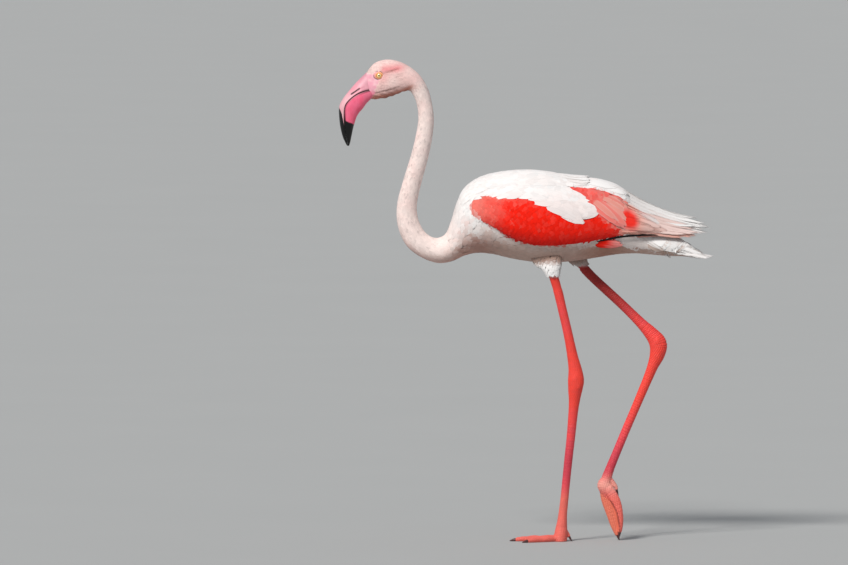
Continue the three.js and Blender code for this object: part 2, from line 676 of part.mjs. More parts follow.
for (const [word, lift] of [["left", WEB.height], ["right", null]]) {
  const shank = SHANKS[word];
  const toes = TOES[word];
  const cutAt = 0.01;
  const thighClear = limb(THIGHS[word].map(([x, y, z, a, b]) => [x, y, z, a + GAP, b + GAP]));
  add(`thigh_${word}`, cut(limb(THIGHS[word]), bodyClear), MATERIALS.plumage);
  add(`shank_${word}`, cut(limb(shank, { to: ANKLE_SPAN[0] - cutAt }), thighClear), MATERIALS.leg);
  add(`ankle_${word}`, limb(shank, { from: ANKLE_SPAN[0] + cutAt, to: ANKLE_SPAN[1] - cutAt, steps: 2 }), MATERIALS.leg);
  const last = shank.length - 1;
  add(`tarsus_${word}`, limb(shank, { from: ANKLE_SPAN[1] + cutAt, to: last - cutAt }), MATERIALS.leg);
  const foot = joined([
    limb(BALLS[word]),
    limb(HIND_TOES[word], { sides: 6 }),
    ...Object.values(toes).map((toe) => limb(toe, { sides: 6 })),
    web(toes.middle, toes.inner, lift),
    web(toes.outer, toes.middle, lift),
  ]);
  const tarsusEnd = limb(shank, { from: last - 2, to: last - cutAt });
  add(`foot_${word}`, cut(foot, belowFloor, tarsusEnd), MATERIALS.leg);
  for (const [toeName, toe] of Object.entries({ ...toes, hind: HIND_TOES[word] })) {
    const nail = cut(claw(toe), belowFloor);
    if (!nail.isEmpty()) add(`claw_${toeName}_${word}`, nail, MATERIALS.claw);
  }
}

export default bird;
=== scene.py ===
"""Greater flamingo: skin, feathers, bill, eyes, claws and stage, laid over the solid frame.

Lengths in tables are in millimetres, in the frame of the solids: the bird faces -X, its left side is -Y,
+Z is up and the origin is on the floor under the ball of the left foot. Meshes are in metres.
"""

import json
import math
from contextlib import contextmanager

import bmesh
import bpy
import numpy as np
from bpy.props import FloatProperty, FloatVectorProperty, IntProperty, PointerProperty
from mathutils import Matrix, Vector, noise

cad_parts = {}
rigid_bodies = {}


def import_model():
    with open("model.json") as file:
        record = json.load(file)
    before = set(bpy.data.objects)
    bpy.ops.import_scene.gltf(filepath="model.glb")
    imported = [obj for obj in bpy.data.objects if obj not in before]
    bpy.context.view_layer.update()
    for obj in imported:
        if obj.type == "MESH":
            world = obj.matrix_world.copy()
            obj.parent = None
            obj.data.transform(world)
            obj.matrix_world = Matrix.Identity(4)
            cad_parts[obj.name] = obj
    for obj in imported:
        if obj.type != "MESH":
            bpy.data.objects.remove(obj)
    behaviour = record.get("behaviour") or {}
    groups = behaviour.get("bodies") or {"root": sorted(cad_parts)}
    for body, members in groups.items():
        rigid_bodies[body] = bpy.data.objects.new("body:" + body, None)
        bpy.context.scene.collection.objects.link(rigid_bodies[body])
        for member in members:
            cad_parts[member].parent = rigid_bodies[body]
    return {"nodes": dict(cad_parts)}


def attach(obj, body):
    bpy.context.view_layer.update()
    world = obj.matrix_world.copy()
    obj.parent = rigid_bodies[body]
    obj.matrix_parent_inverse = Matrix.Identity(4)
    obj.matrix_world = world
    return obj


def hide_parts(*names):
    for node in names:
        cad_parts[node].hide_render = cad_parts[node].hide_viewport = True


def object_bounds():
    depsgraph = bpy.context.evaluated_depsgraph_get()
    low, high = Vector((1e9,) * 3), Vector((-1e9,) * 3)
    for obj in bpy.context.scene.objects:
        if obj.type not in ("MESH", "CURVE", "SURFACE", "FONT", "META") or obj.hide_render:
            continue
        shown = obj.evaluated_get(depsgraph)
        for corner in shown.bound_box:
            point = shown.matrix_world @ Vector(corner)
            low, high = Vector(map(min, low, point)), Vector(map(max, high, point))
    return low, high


bl_info = {
    "name": "Greater flamingo",
    "version": (1, 0, 0),
    "blender": (4, 5, 0),
    "location": "3D View > Sidebar > Flamingo",
    "description": "Skin, feathers, bill, eyes and claws of a life-size greater flamingo",
    "category": "Add Mesh",
}

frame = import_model()
CAD_BOX = [list(corner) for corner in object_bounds()]

MM = 0.001
BODY = "root"
SIDES = {"left": -1, "right": 1}

# ---------- Tables of the body's shape, in millimetres ----------

# Ribs from the bill to the tail: dorsal point (x, z), ventral point (x, z) and half width.
RIBS = np.array([
    [-341, 821, -333, 775, 13], [-328, 837, -322, 775.5, 18], [-310, 844, -308, 777, 22],
    [-290, 843, -292, 782, 23], [-268, 834, -277, 788, 21.5], [-248, 818, -266, 790, 18],
    [-234, 796, -259, 782, 15.5], [-226, 769, -252.5, 766, 14], [-222.5, 740, -250, 741, 14],
    [-225, 709, -254.5, 711, 14.5], [-233, 670, -263.5, 675, 15], [-245, 626, -277, 631, 16],
    [-252, 592, -287, 592, 17], [-250, 566, -286.5, 556, 18], [-240.5, 546, -273, 522, 19],
    [-228, 535, -249, 500.5, 20.5], [-213.5, 533, -218, 488.5, 23], [-200, 542, -192, 491, 29],
    [-190.5, 566, -172, 500, 39], [-180.5, 597, -155, 505, 50], [-163, 621, -138, 506, 59],
    [-136.5, 637, -116, 503.5, 65], [-101.5, 645, -88, 496.5, 68], [-59.5, 648, -56, 491, 68],
    [-17.5, 644, -22, 489, 65], [24.5, 634, 16, 491, 59], [66.5, 622, 58, 497, 50],
    [106, 598, 98, 503.5, 40], [137, 564, 132, 505, 30], [162, 541, 162, 503, 23], [190, 534, 190, 501, 19],
    [222, 522, 224, 500, 14], [246, 505, 247, 498, 9],
])
# Places along the ribs where one region of the body passes into the next.
NAPE, NECK_BASE, TAIL_END = 5.0, 16.5, 31.2
EGG = 0.07  # how much wider a section is below its middle

# Folded wing over the body: place along the ribs, upper and lower angle from the back in degrees, height.
WING_ROWS = np.array([
    [19.9, 58, 76, 3], [20.5, 50, 94, 7], [21, 46, 103, 8.5], [22, 44, 117, 10], [23, 44, 125, 11],
    [24, 42, 126, 11], [25, 36, 123, 10.5], [26, 30, 118, 10], [27, 24, 105, 9], [27.9, 20, 84, 6],
])
# Scapular feathers over the wing: place along the ribs, lowest angle.
SCAPULAR_ROWS = np.array([
    [20, 42], [20.4, 50], [21, 62], [21.6, 61], [22.1, 60], [22.5, 66], [23.5, 71.5], [24.2, 78],
    [24.7, 88], [25.1, 97], [25.4, 98], [25.6, 90], [25.8, 88], [26.1, 83],
])
# Long feathers of the rump: place along the ribs, lowest angle, height.
RUMP_ROWS = np.array([
    [24.45, 42, 0], [25, 38, 2], [26, 32, 9.5], [27, 28, 16], [27.45, 14, 13],
])
# Rear edge of the round lobe of scapulars, and lower edge of the rump feathers: angle and place, in order.
LOBE_EDGE = (
    [0, 22, 29, 34, 38.5, 47, 54, 62, 70.5, 79.8, 84.8, 89, 92, 98],
    [25.5, 25.6, 25.4, 24.9, 24.6, 25.0, 25.36, 25.72, 25.98, 26.1, 25.9, 25.55, 25.45, 25.4],
)
RUMP_EDGE = ([24.6, 25.6, 26.4, 26.9, 27.2, 27.5], [39, 35, 32, 27, 17, 5])
RUMP_SLOPE = 0.62  # angle over which the rump feathers slope down to the wing
MANTLE = 3.8  # how far the feathers of the back stand over the solid
SHELL_EDGE = 2.2
RIB_SPACING = 38.0
EDGE_GIRTH = 60.0  # radius of the body under the wing's edges

# Bill: culmen (x, z), cutting edge (x, z), keel (x, z) and half width.
BILL_RIBS = np.array([
    [-341.5, 821, -327, 794, -333, 775, 12.5], [-357, 806, -344, 789.5, -341, 767, 13.5],
    [-370, 791, -358, 783.5, -347, 758.5, 14.5], [-381, 777, -370, 774.5, -353, 752, 15],
    [-388, 763, -377.5, 764, -357.5, 744.5, 14.5], [-388.5, 747, -379.5, 748, -360.5, 736, 12.5],
    [-386.5, 728, -378.5, 728, -363.5, 725.5, 10], [-382.5, 710.5, -376, 710.5, -366.5, 711, 7],
    [-377.5, 699, -374, 699, -369, 699.5, 4], [-374.5, 693.5, -373, 693.5, -371, 693.5, 1.6],
])
EYE = {"x": -318.5, "z": 817.0, "radius": 6.2, "out": 15.6}
# Creases of the face: ends (x, z), width and strength, which sets the depth of the fold and its painted
# shade. The first runs back from the eye, then come the fold of the jaw and the wrinkles of the cheek.
FACE_LINES = [
    (((-309, 821.5), (-284, 829)), 1.7, 0.6),
    (((-325, 785), (-283, 797)), 1.6, 0.75),
    (((-290, 813), (-276, 818.5)), 1.0, 0.3),
    (((-287, 818), (-270, 823)), 1.0, 0.3),
    (((-283, 808), (-272, 812.5)), 1.0, 0.25),
]

# Legs: stations (x, y, z, fore-and-aft radius, side radius) from the hip to the toe joint.
THIGHS = {
    "left": [
        [-25, -24, 517, 36, 10], [-22.6, -28, 499, 29, 10], [-18.6, -34.5, 489, 20.5, 12],
        [-16.6, -37.5, 481, 17.2, 14], [-14.2, -39, 469, 12.5, 12], [-12.8, -38.5, 462, 9.6, 9.6],
    ],
    "right": [
        [20, 28, 513, 20, 12], [28, 34, 498, 17.5, 14], [35, 37.5, 486.5, 13, 12.5],
        [41, 38, 477.5, 9.4, 9.4],
    ],
}
SHANKS = {
    "left": [
        [-13.4, -38.5, 466.5, 8.2, 7.4], [-5.3, -36, 438.5, 7.7, 6.8], [1.8, -33.5, 408.5, 7.5, 6.5],
        [8.8, -31, 379, 7.6, 6.5], [14.9, -28.5, 351, 8, 7], [20.1, -26, 324.5, 9.2, 8],
        [24.3, -24, 303.5, 11.4, 10], [25.9, -22, 284, 13.8, 12.5], [24.5, -20, 266, 12, 11],
        [22.8, -18, 245.5, 9.2, 8.2], [20.5, -16, 221, 7.9, 6.6], [17.3, -13, 185.5, 7.3, 6.1],
        [13.3, -10, 148.5, 7, 5.8], [9.5, -7.5, 111, 6.8, 5.7], [6, -5, 74.5, 6.8, 5.9],
        [3.2, -2.5, 48, 7.3, 6.8], [1.6, -1, 29, 8.9, 9],
    ],
    "right": [
        [38.5, 38, 479.5, 8.2, 7.4], [55, 37.5, 462, 7.8, 6.8], [77, 37, 441.5, 7.8, 6.6],
        [100, 36, 420.5, 7.8, 6.6], [122.5, 35, 399, 8, 6.8], [142, 34, 379.5, 9, 8],
        [159, 33, 362, 12, 10], [170.5, 32, 345, 15.2, 12.5], [169, 31.5, 326, 13, 11],
        [161.5, 31, 306.5, 9.4, 8.2], [153.5, 30.5, 286.5, 8.1, 6.8], [143, 30, 261.5, 7.5, 6.2],
        [129, 29.5, 228.5, 7.1, 5.9], [114, 29, 193.5, 7, 5.8], [99.5, 28.5, 158.5, 7, 5.9],
        [87, 28, 128, 7.4, 6.8], [80.5, 28, 110, 8.6, 8.6],
    ],
}
FLAT_TOES = {"inner": (30, 68), "middle": (1, 80), "outer": (-29, 68)}  # spread in degrees, length
FLAT_TOE_RADII = [6.8, 5.6, 5.4, 4.4, 4.6, 3.4]
TOE_SINK = 0.7  # how much of a flat toe is pressed flat by the floor
HUNG_TOES = {
    "inner": [
        [83, 22, 92, 8.5, 5.5], [96, 18, 70, 8.2, 4.4], [103.3, 17.5, 48, 5.6, 4],
        [105.2, 19.5, 28, 3.8, 3.6], [103.2, 22, 14, 3.1, 3.1],
    ],
    "middle": [
        [76, 28, 94, 8, 7], [79, 27, 73, 8.3, 5.2], [87.5, 26.5, 50, 8.6, 4.8], [93, 26.5, 28, 6.2, 4.4],
        [96.8, 26.5, 16, 4.4, 4], [99.5, 26.5, 9, 3.4, 3.4],
    ],
    "outer": [
        [82, 33, 92, 7, 6], [91, 36, 68, 5.2, 4.6], [98, 36.5, 44, 4.8, 4.3], [101.5, 35, 26, 4, 3.9],
        [101.5, 32, 13, 3.2, 3.2],
    ],
}
HIND_TOES = {
    "left": [[3, 1, 24, 4.5, 4.5], [10.5, 1.5, 14.5, 3.3, 3.3], [14.5, 2, 8, 2.6, 2.6]],
    "right": [[87, 27.5, 106, 4.5, 4.5], [95.5, 27, 96, 3.3, 3.3], [98, 26.5, 88, 2.6, 2.6]],
}
BALLS = {
    "left": [
        [1.7, -1, 32, 8.4, 8.4], [1.2, 0, 26.5, 9.4, 9.6], [0, 0, 14, 11, 12.5], [-1, 0, 5, 11.5, 13.5],
        [-1, 0, -1, 11, 13],
    ],
    "right": [
        [82, 28, 114, 7.8, 7.8], [80, 28, 107, 9, 9.2], [77.5, 28, 98, 13.2, 11], [79.5, 28, 89, 12, 10.5],
        [83, 28, 81, 8, 8],
    ],
}

# Long plumes over the tail on one side: root, bow and tip (x, distance from the midline, z), width and
# how far the vane leans out, from 0 upright to 1 level.
TERTIALS = [
    ([94, 3, 616], [158, 4, 577.5], [263, 2.5, 548], 12, 0.3),
    ([92, 10, 617], [160, 11, 565], [259, 4.5, 551], 26, 0.8),
    ([84, 20, 602], [160, 19, 560], [255.5, 9, 541], 27, 0.75),
    ([82, 29, 587], [156, 26, 555], [241.5, 14, 541.5], 30, 0.7),
    ([80, 37, 572], [148, 29, 554], [234.5, 15, 536.5], 28, 0.6),
    ([80, 42, 561], [140, 33, 551], [206, 18, 542], 24, 0.4),
]
# Small red feathers under the wing's rear: place and angle of root and of tip, height of root and of tip
# over the body, and width.
SMALL_RED = [
    (26.0, 127, 27.0, 130, 0.3, 2.2, 12),
    (26.1, 122.5, 27.2, 126, 0.3, 2.4, 12),
    (26.15, 118, 27.1, 121.5, 0.3, 2.4, 12),
]
SPOT = (117.5, 566.5)  # middle of the round red spot (x, z)
PRIMARIES = [
    ([112, 26, 554], [160, 22, 551], [222, 8.5, 544], 11, 0.8),
    ([112, 31, 549], [155, 27, 547], [206, 17, 541], 11, 0.8),
    ([62, 46, 528], [112, 43.5, 541], [168, 33, 539], 4.5, 0.1),
]
TAIL_TIPS = [[3, 265, 501], [13, 262, 500.5], [23, 257, 500.5]]  # distance from the midline, x, z
TAIL_ROOT = (186.0, 514.0)


def linear(red, green, blue):
    """Scene-linear colour from the usual 0 to 255 values."""
    return tuple((value / 255) ** 2.2 for value in (red, green, blue))


def colour(name, description, *values):
    return FloatVectorProperty(
        name=name, description=description, subtype="COLOR", default=linear(*values), min=0, max=1
    )


def length(name, description, millimetres):
    return FloatProperty(
        name=name, description=description, subtype="DISTANCE", unit="LENGTH", default=millimetres * MM, min=0
    )


def chosen(group):
    """The sizes or colours of one group, as the user has them."""
    return getattr(bpy.context.scene, f"flamingo_{group}")


# ---------- Sizes and colours that a user would change ----------


class PlumageColours(bpy.types.PropertyGroup):
    white: colour("White", "Mantle, scapulars and back", 242, 239, 237)
    cream: colour("Cream", "Neck and crown", 248, 228, 221)
    blush: colour("Blush", "Pink streak behind the eye", 238, 148, 150)
    cheek: colour("Cheek", "Sides of the head", 246, 202, 196)
    throat: colour("Throat", "Chin and throat", 207, 136, 120)
    # The underside's colour is partly its own dusky pink and partly painted shade.
    belly_and_shade: colour("Belly", "Underside of the body", 192, 160, 146)
    coral: colour("Coral", "Shoulder of the wing", 238, 118, 106)
    red: colour("Red", "Middle of the wing coverts", 252, 34, 10)
    deep_red: colour("Deep red", "Lower edge of the wing coverts", 206, 20, 8)
    rear_coral: colour("Rear coral", "Coverts under the scapulars", 240, 118, 110)
    peach: colour("Peach", "Long plumes over the tail", 238, 178, 162)
    black: colour("Black", "Flight feathers", 22, 19, 20)


class BareColours(bpy.types.PropertyGroup):
    lores: colour("Lores", "Bare skin between bill and eye", 238, 164, 180)
    lid: colour("Eyelids", "Ring of skin round the eye", 248, 172, 122)
    pupil_rim: colour("Pupil rim", "Ring between pupil and iris", 170, 110, 60)
    iris: colour("Iris", "Ring of the eye", 250, 226, 150)
    iris_rim: colour("Iris rim", "Outer part of the iris", 230, 146, 66)
    iris_edge: colour("Iris edge", "Dark edge of the iris", 120, 52, 30)
    bill_pale: colour("Pale bill", "Upper half of the bill", 232, 154, 168)
    bill_white: colour("White bill", "Ridge of the bill", 234, 184, 189)
    bill_rose: colour("Rose bill", "Lower half of the bill", 254, 112, 144)
    bill_deep: colour("Deep bill", "Keel of the bill", 244, 66, 100)
    bill_black: colour("Black bill", "Tip of the bill", 11, 11, 12)
    gape: colour("Gape", "Line between the halves of the bill", 30, 10, 14)
    leg_red: colour("Leg red", "Shanks and ankles", 244, 68, 54)
    leg_pink: colour("Leg pink", "Lower legs", 228, 72, 84)
    # Painted shadow of the body on the top of the bent far shank.
    leg_painted_shadow: colour("Leg dark", "Shaded top of the bent shank", 128, 18, 22)
    foot: colour("Foot", "Toes and webs", 232, 106, 94)
    foot_ball: colour("Foot ball", "Pale ball of the lifted foot", 238, 168, 152)
    foot_web: colour("Foot web", "Front of the lifted web", 226, 122, 92)
    # Painted shade in the crease of the lifted web.
    foot_crease_shade: colour("Foot crease", "Crease of the lifted web", 120, 44, 38)
    scale_crown: colour("Scale crown", "Worn crown of a scale", 250, 170, 160)
    claw: colour("Claw", "Claws", 66, 40, 42)
    claw_worn: colour("Worn claw", "Streaks of the claws", 128, 84, 78)


class CoatSizes(bpy.types.PropertyGroup):
    head_feather: length("Head feather", "Length of a feather on the crown", 7)
    neck_feather: length("Neck feather", "Length of a feather on the neck", 12)
    body_feather: length("Body feather", "Length of a feather on the trunk", 23)
    covert: length("Covert", "Length of a small covert on the wing", 14)
    scapular: length("Scapular", "Length of a scapular", 64)
    head_spacing: length("Head spacing", "Least distance between feather roots on the head", 1.6)
    neck_spacing: length("Neck spacing", "Least distance between feather roots on the neck", 2.3)
    body_spacing: length("Body spacing", "Least distance between feather roots on the trunk", 4.0)
    covert_spacing: length("Covert spacing", "Distance between covert roots", 5.2)
    scale_pitch: length("Scale pitch", "Distance between the scales of the legs", 3.5)
    seed: IntProperty(name="Seed", description="Chooses the scatter of the feathers", default=7, min=0)


class StageSizes(bpy.types.PropertyGroup):
    distance: length("Distance", "Camera to the bird", 20000)
    elevation: FloatProperty(
        name="Elevation", description="Camera's height as an angle", subtype="ANGLE", default=math.radians(3)
    )
    view_width: length("View width", "Width of what the camera sees at the bird", 1484)
    view_x: length("View middle", "Middle of the view behind the bill, measured towards the tail", 148.75)
    view_z: length("View height", "Middle of the view above the floor", 454.1)
    floor: colour("Floor", "Plain floor", 176, 177, 176)
    sun: FloatProperty(name="Sun", description="Strength of the main light", default=2.85, min=0)
    sky_tint: colour("Sky tint", "Colour of the light from all round", 226, 231, 238)
    sky: FloatProperty(name="Sky", description="Strength of the light from all round", default=0.46, min=0)


# ---------- Smooth values along rows of numbers ----------


def along(rows, place):
    """Catmull-Rom value at each place along rows of numbers."""
    rows = np.asarray(rows, float)
    place = np.asarray(place, float)
    last = len(rows) - 1
    row = np.clip(np.floor(place).astype(int), 0, last - 1)
    share = (place - row)[..., None]
    before, here, after, beyond = (rows[np.clip(row + k, 0, last)] for k in (-1, 0, 1, 2))
    slope = (after - before) / 2
    next_slope = (beyond - here) / 2
    rise = after - here
    bend = 3 * rise - 2 * slope - next_slope + share * (slope + next_slope - 2 * rise)
    return here + share * (slope + share * bend)


def row_at(rows, place):
    """Values of a table whose first column is the place."""
    return along(rows, np.interp(place, rows[:, 0], np.arange(len(rows))))


def step(low, high, value):
    """Smooth step from 0 at low to 1 at high."""
    share = np.clip((value - low) / (high - low), 0, 1)
    return share * share * (3 - 2 * share)


def bump(middle, width, value):
    """Smooth hump that is 1 at the middle."""
    return np.exp(-(((value - middle) / width) ** 2))


def mixed(first, second, mask):
    """Colours between two, by a mask."""
    first = np.asarray(first)
    return first + (np.asarray(second) - first) * np.asarray(mask)[..., None]


def painted(tint, *layers):
    """Colours under layers, each a colour and its mask."""
    for layer, mask in layers:
        tint = mixed(tint, layer, mask)
    return tint


def unit(vectors):
    return vectors / np.maximum(np.linalg.norm(vectors, axis=-1, keepdims=True), 1e-12)


def blotches(points, size, seed):
    """Smooth noise from about -1 to 1 at each point, in blotches of a given size in metres."""
    flat = points.reshape(-1, 3) / size + seed * 17.31
    values = np.array([noise.noise(point) for point in flat.tolist()])
    return values.reshape(points.shape[:-1])


# ---------- The body under the coat ----------


def body_point(place, angle, raised):
    """Point of the body at a place along the ribs and an angle from the back, raised by millimetres."""
    dorsal_x, dorsal_z, ventral_x, ventral_z, half = np.moveaxis(along(RIBS, place), -1, 0)
    up_x = (dorsal_x - ventral_x) / 2
    up_z = (dorsal_z - ventral_z) / 2
    reach = np.cos(angle) * (1 + raised / np.hypot(up_x, up_z))
    narrow = 1 - EGG * np.cos(angle)
    x = (dorsal_x + ventral_x) / 2 + up_x * reach
    z = (dorsal_z + ventral_z) / 2 + up_z * reach
    y = np.sin(angle) * narrow * (half + raised)
    return np.stack([x, y, z], -1) * MM


def wing_share(place, angle):
    """How far across the wing a point is: 0 at its upper edge, 1 at its lower edge."""
    row = row_at(WING_ROWS, place)
    upper = np.radians(row[..., 1])
    lower = np.radians(row[..., 2])
    return (np.abs(angle) - upper) / (lower - upper)


def wing_inside(place, angle, blend):
    """1 well inside the wing's outline and 0 outside it, blended over some millimetres."""
    row = row_at(WING_ROWS, place)
    share = wing_share(place, angle)
    girth = np.radians(row[..., 2] - row[..., 1]) * EDGE_GIRTH
    across = np.minimum(share, 1 - share) * girth
    ahead = (place - WING_ROWS[0, 0]) * RIB_SPACING
    behind = (WING_ROWS[-1, 0] - place) * RIB_SPACING
    return step(0, blend, np.minimum(across, np.minimum(ahead, behind)))


def scapular_inside(place, angle, blend):
    """1 under the scapulars and the long rump feathers, 0 outside them."""
    inside = -1.0
    lobe = np.interp(np.degrees(np.abs(angle)), *LOBE_EDGE)
    for rows, end in ((SCAPULAR_ROWS, lobe), (RUMP_ROWS, RUMP_ROWS[-1, 0])):
        below = (np.radians(row_at(rows, place)[..., 1]) - np.abs(angle)) * EDGE_GIRTH
        along_it = np.minimum(place - rows[0, 0], end - place) * RIB_SPACING
        inside = np.maximum(inside, np.minimum(below, along_it))
    return step(0, blend, inside)


def shell_height(place, angle, blend):
    """Height of the folded wing and rump feathers over the body."""
    height = row_at(WING_ROWS, place)[..., 3]
    arch = np.sin(np.pi * np.clip(wing_share(place, angle), 0, 1)) ** 0.6
    wing = (SHELL_EDGE + (height - SHELL_EDGE) * arch) * wing_inside(place, angle, blend)
    rump = row_at(RUMP_ROWS, place)[..., 2] * (place >= RUMP_ROWS[0, 0])
    slope = np.clip(1 - (angle / RUMP_SLOPE) ** 2, 0.08, 1)
    mantle = MANTLE * step(18.6, 20.2, place) * step(27.8, 27, place) * step(1.2, 0.2, np.abs(angle))
    return wing + mantle + rump * slope * scapular_inside(place, angle, blend)


def bare_share(x, z, place):
    """1 on the bare skin between the bill and the eye."""
    edge = np.interp(z, [776, 785, 795, 809, 817, 819, 821.3], [-333.6, -325.5, -324, -318, -318, -331, -343])
    uneven = 0.9 * np.sin(z * 0.8) + 0.6 * np.sin(z * 2.1 + 1)
    return step(2.2, -2.2, x - edge - uneven) * (place < 2.2)


def coat_depth(place, x, z):
    """Depth of the feathers over the skin, in millimetres."""
    places = [0, 1, 2.5, 5, 12, 17, 20, 28, 32]
    depth = np.interp(place, places, [0.38, 0.42, 0.6, 0.9, 1.3, 2.5, 4.0, 4.2, 2.6])
    return depth + (0.35 - depth) * bare_share(x, z, place)


def face_relief(place, angle, x, z):
    """Brow, hollow lores, cheek and the folds of the throat, in millimetres."""
    side = np.abs(np.sin(angle))
    from_x, from_z = x - EYE["x"], z - EYE["z"]
    brow = 0.9 * bump(10, 7, from_z) * bump(0, 13, from_x) * side
    hollow = -1.3 * bump(-12, 9, from_x) * bump(-9, 8, from_z) * side
    socket = -0.8 * bump(0, 8, np.hypot(from_x, from_z))
    cheek = 1.3 * bump(-296, 14, x) * bump(797, 10, z) * side
    under = step(115, 150, np.degrees(np.abs(angle))) * step(5.2, 4.2, place)
    folds = 0.55 * under * np.sin((x * 0.35 + z * 1.1) * 0.75)
    for line, width, strength in FACE_LINES:
        folds = folds - 1.1 * strength * side * bump(0, width, from_segment(x, z, line)[0])
    return brow + hollow + socket + cheek + folds


def form_point(place, angle, blend=3.0):
    """Point of the skin."""
    on_solid = body_point(place, angle, 0.0) / MM
    x, z = on_solid[..., 0], on_solid[..., 2]
    raised = shell_height(place, angle, blend) - coat_depth(place, x, z)
    raised = raised + np.where(place < NAPE + 0.5, face_relief(place, angle, x, z), 0)
    return body_point(place, angle, raised)


def ring_places():
    """Places along the ribs where the skin has a ring: close on the face, wider apart on the trunk."""
    place = np.linspace(0, TAIL_END, 4000)
    ribs = along(RIBS, place)
    middle = np.stack([ribs[:, 0] + ribs[:, 2], ribs[:, 1] + ribs[:, 3]], -1) / 2
    run = np.linalg.norm(np.diff(middle, axis=0), axis=1)
    pitch = np.interp(place[1:], [0, 4.5, 6, 15, 19, TAIL_END], [1.0, 1.1, 2.7, 3.0, 4.6, 4.6])
    rings = np.concatenate([[0], np.cumsum(run / pitch)])
    return np.interp(np.linspace(0, rings[-1], int(rings[-1])), rings, place)


def form_frame(place, angle):
    """Outward direction, direction towards the tail, and metres for one rib's spacing and one radian."""
    small, blend = 1e-3, 14.0
    lie = form_point(place + small, angle, blend) - form_point(place - small, angle, blend)
    around = form_point(place, angle + small, blend) - form_point(place, angle - small, blend)
    pace, girth = (np.linalg.norm(way, axis=-1) / (2 * small) for way in (lie, around))
    return unit(np.cross(lie, around)), unit(lie), np.maximum(pace, 1e-4), np.maximum(girth, 1e-3)


# ---------- Markings ----------


def head_tint(x, z, place, angle, grain):
    """Pink crown, blush with a crease behind the eye, pale wrinkled cheek, brown-pink throat with a fold;
    creases and underside in painted shade.
    """
    hues = chosen("plumage")
    # Painted shade, laid into the creases of the face and under the head.
    dark = np.array(hues.throat) * 0.42
    streak = bump(828.5, 7.5, z - 0.1 * (x + 300)) * step(-319, -309, x) * step(-262, -288, x)
    tint = painted(
        hues.cream,
        (hues.cheek, 0.6 + 0.3 * step(826, 812, z + 4 * grain)),
        (hues.cream, 0.55 * bump(806, 8, z) * bump(-294, 13, x) * (0.7 + 0.3 * grain)),
        (hues.blush, np.clip(streak * (0.95 + 0.15 * grain), 0, 1)),
        (hues.blush, 0.4 * bump(0, 9, np.hypot(x - EYE["x"] - 8, z - EYE["z"] + 4))),
    )
    # The creases are darkened with painted shade.
    for line, width, strength in FACE_LINES:
        off, share = from_segment(x, z, line)
        faded = np.sin(np.pi * np.clip(share, 0.08, 0.92)) ** 0.5
        tint = mixed(tint, dark, strength * bump(0, width, off) * faded)
    chin = np.interp(x, [-338, -318, -300, -262], [779, 784, 787, 799])
    under = step(140, 165, np.degrees(np.abs(angle))) * step(1, 2, place) * step(7, 5.4, place)
    return painted(
        tint,
        (hues.throat, step(4, -4, z - chin + 2 * grain) * step(6.2, 4.6, place)),
        (hues.cream, 0.12 * step(-318, -330, x) * step(818, 826, z)),
        # Painted shade under the head.
        (dark, 0.6 * under),
    )


def rear_line(x):
    """Height of the line from which the coverts behind the lobe are coral above and red below."""
    return np.interp(x, [0, 62, 104, 130], [588, 574, 546, 530])


def spot_tint(tint, x, z, fine):
    """The round red spot with its pale ring."""
    hues = chosen("plumage")
    right, up = x - SPOT[0], z - SPOT[1]
    out = np.hypot(1.15 * (0.8 * right + 0.6 * up), 0.85 * (0.6 * right - 0.8 * up)) + 1.6 * fine
    return painted(
        tint,
        (hues.peach, 0.6 * step(29, 22, out) * step(13, 18, out)),
        (hues.rear_coral, 0.8 * step(22, 16, out)),
        (hues.red, 0.9 * step(17, 10, out)),
    )


def wing_tint(x, z, share, grain, fine):
    """Coral shoulder, red coverts, deep lower edge, coral rear patch with its round spot, peach behind."""
    hues = chosen("plumage")
    shoulder = 0.75 * step(0.5, 0.15, share) * step(-30, -90, x) + 0.35 * fine
    rear = step(-6, 8, z - rear_line(x) + 4 * grain) * step(-14, 10, x)
    slant = np.sin((0.79 * x + 0.61 * z) / 2.3 + 2.5 * grain)
    edge = np.interp(z, [525, 545, 575, 612], [108, 128, 141, 96])
    tint = painted(
        hues.red,
        (hues.coral, step(-84, -158, x + 14 * grain)),
        (hues.coral, np.clip(shoulder, 0, 0.8)),
        (hues.deep_red, 0.75 * step(0.7, 0.95, share) * step(-150, -110, x)),
        (mixed(hues.rear_coral, hues.red, 0.4 * step(66, 20, x)), np.clip(rear * (0.8 + 0.5 * fine), 0, 1)),
        (hues.peach, 0.4 * rear * step(0.25, 0.9, slant) * step(40, 66, x)),
        (hues.peach, step(-7, 20, x - edge + 6 * grain)),
        (hues.white, 0.85 * step(6, 34, x - edge) * step(530, 566, z)),
    )
    return spot_tint(tint, x, z, fine)


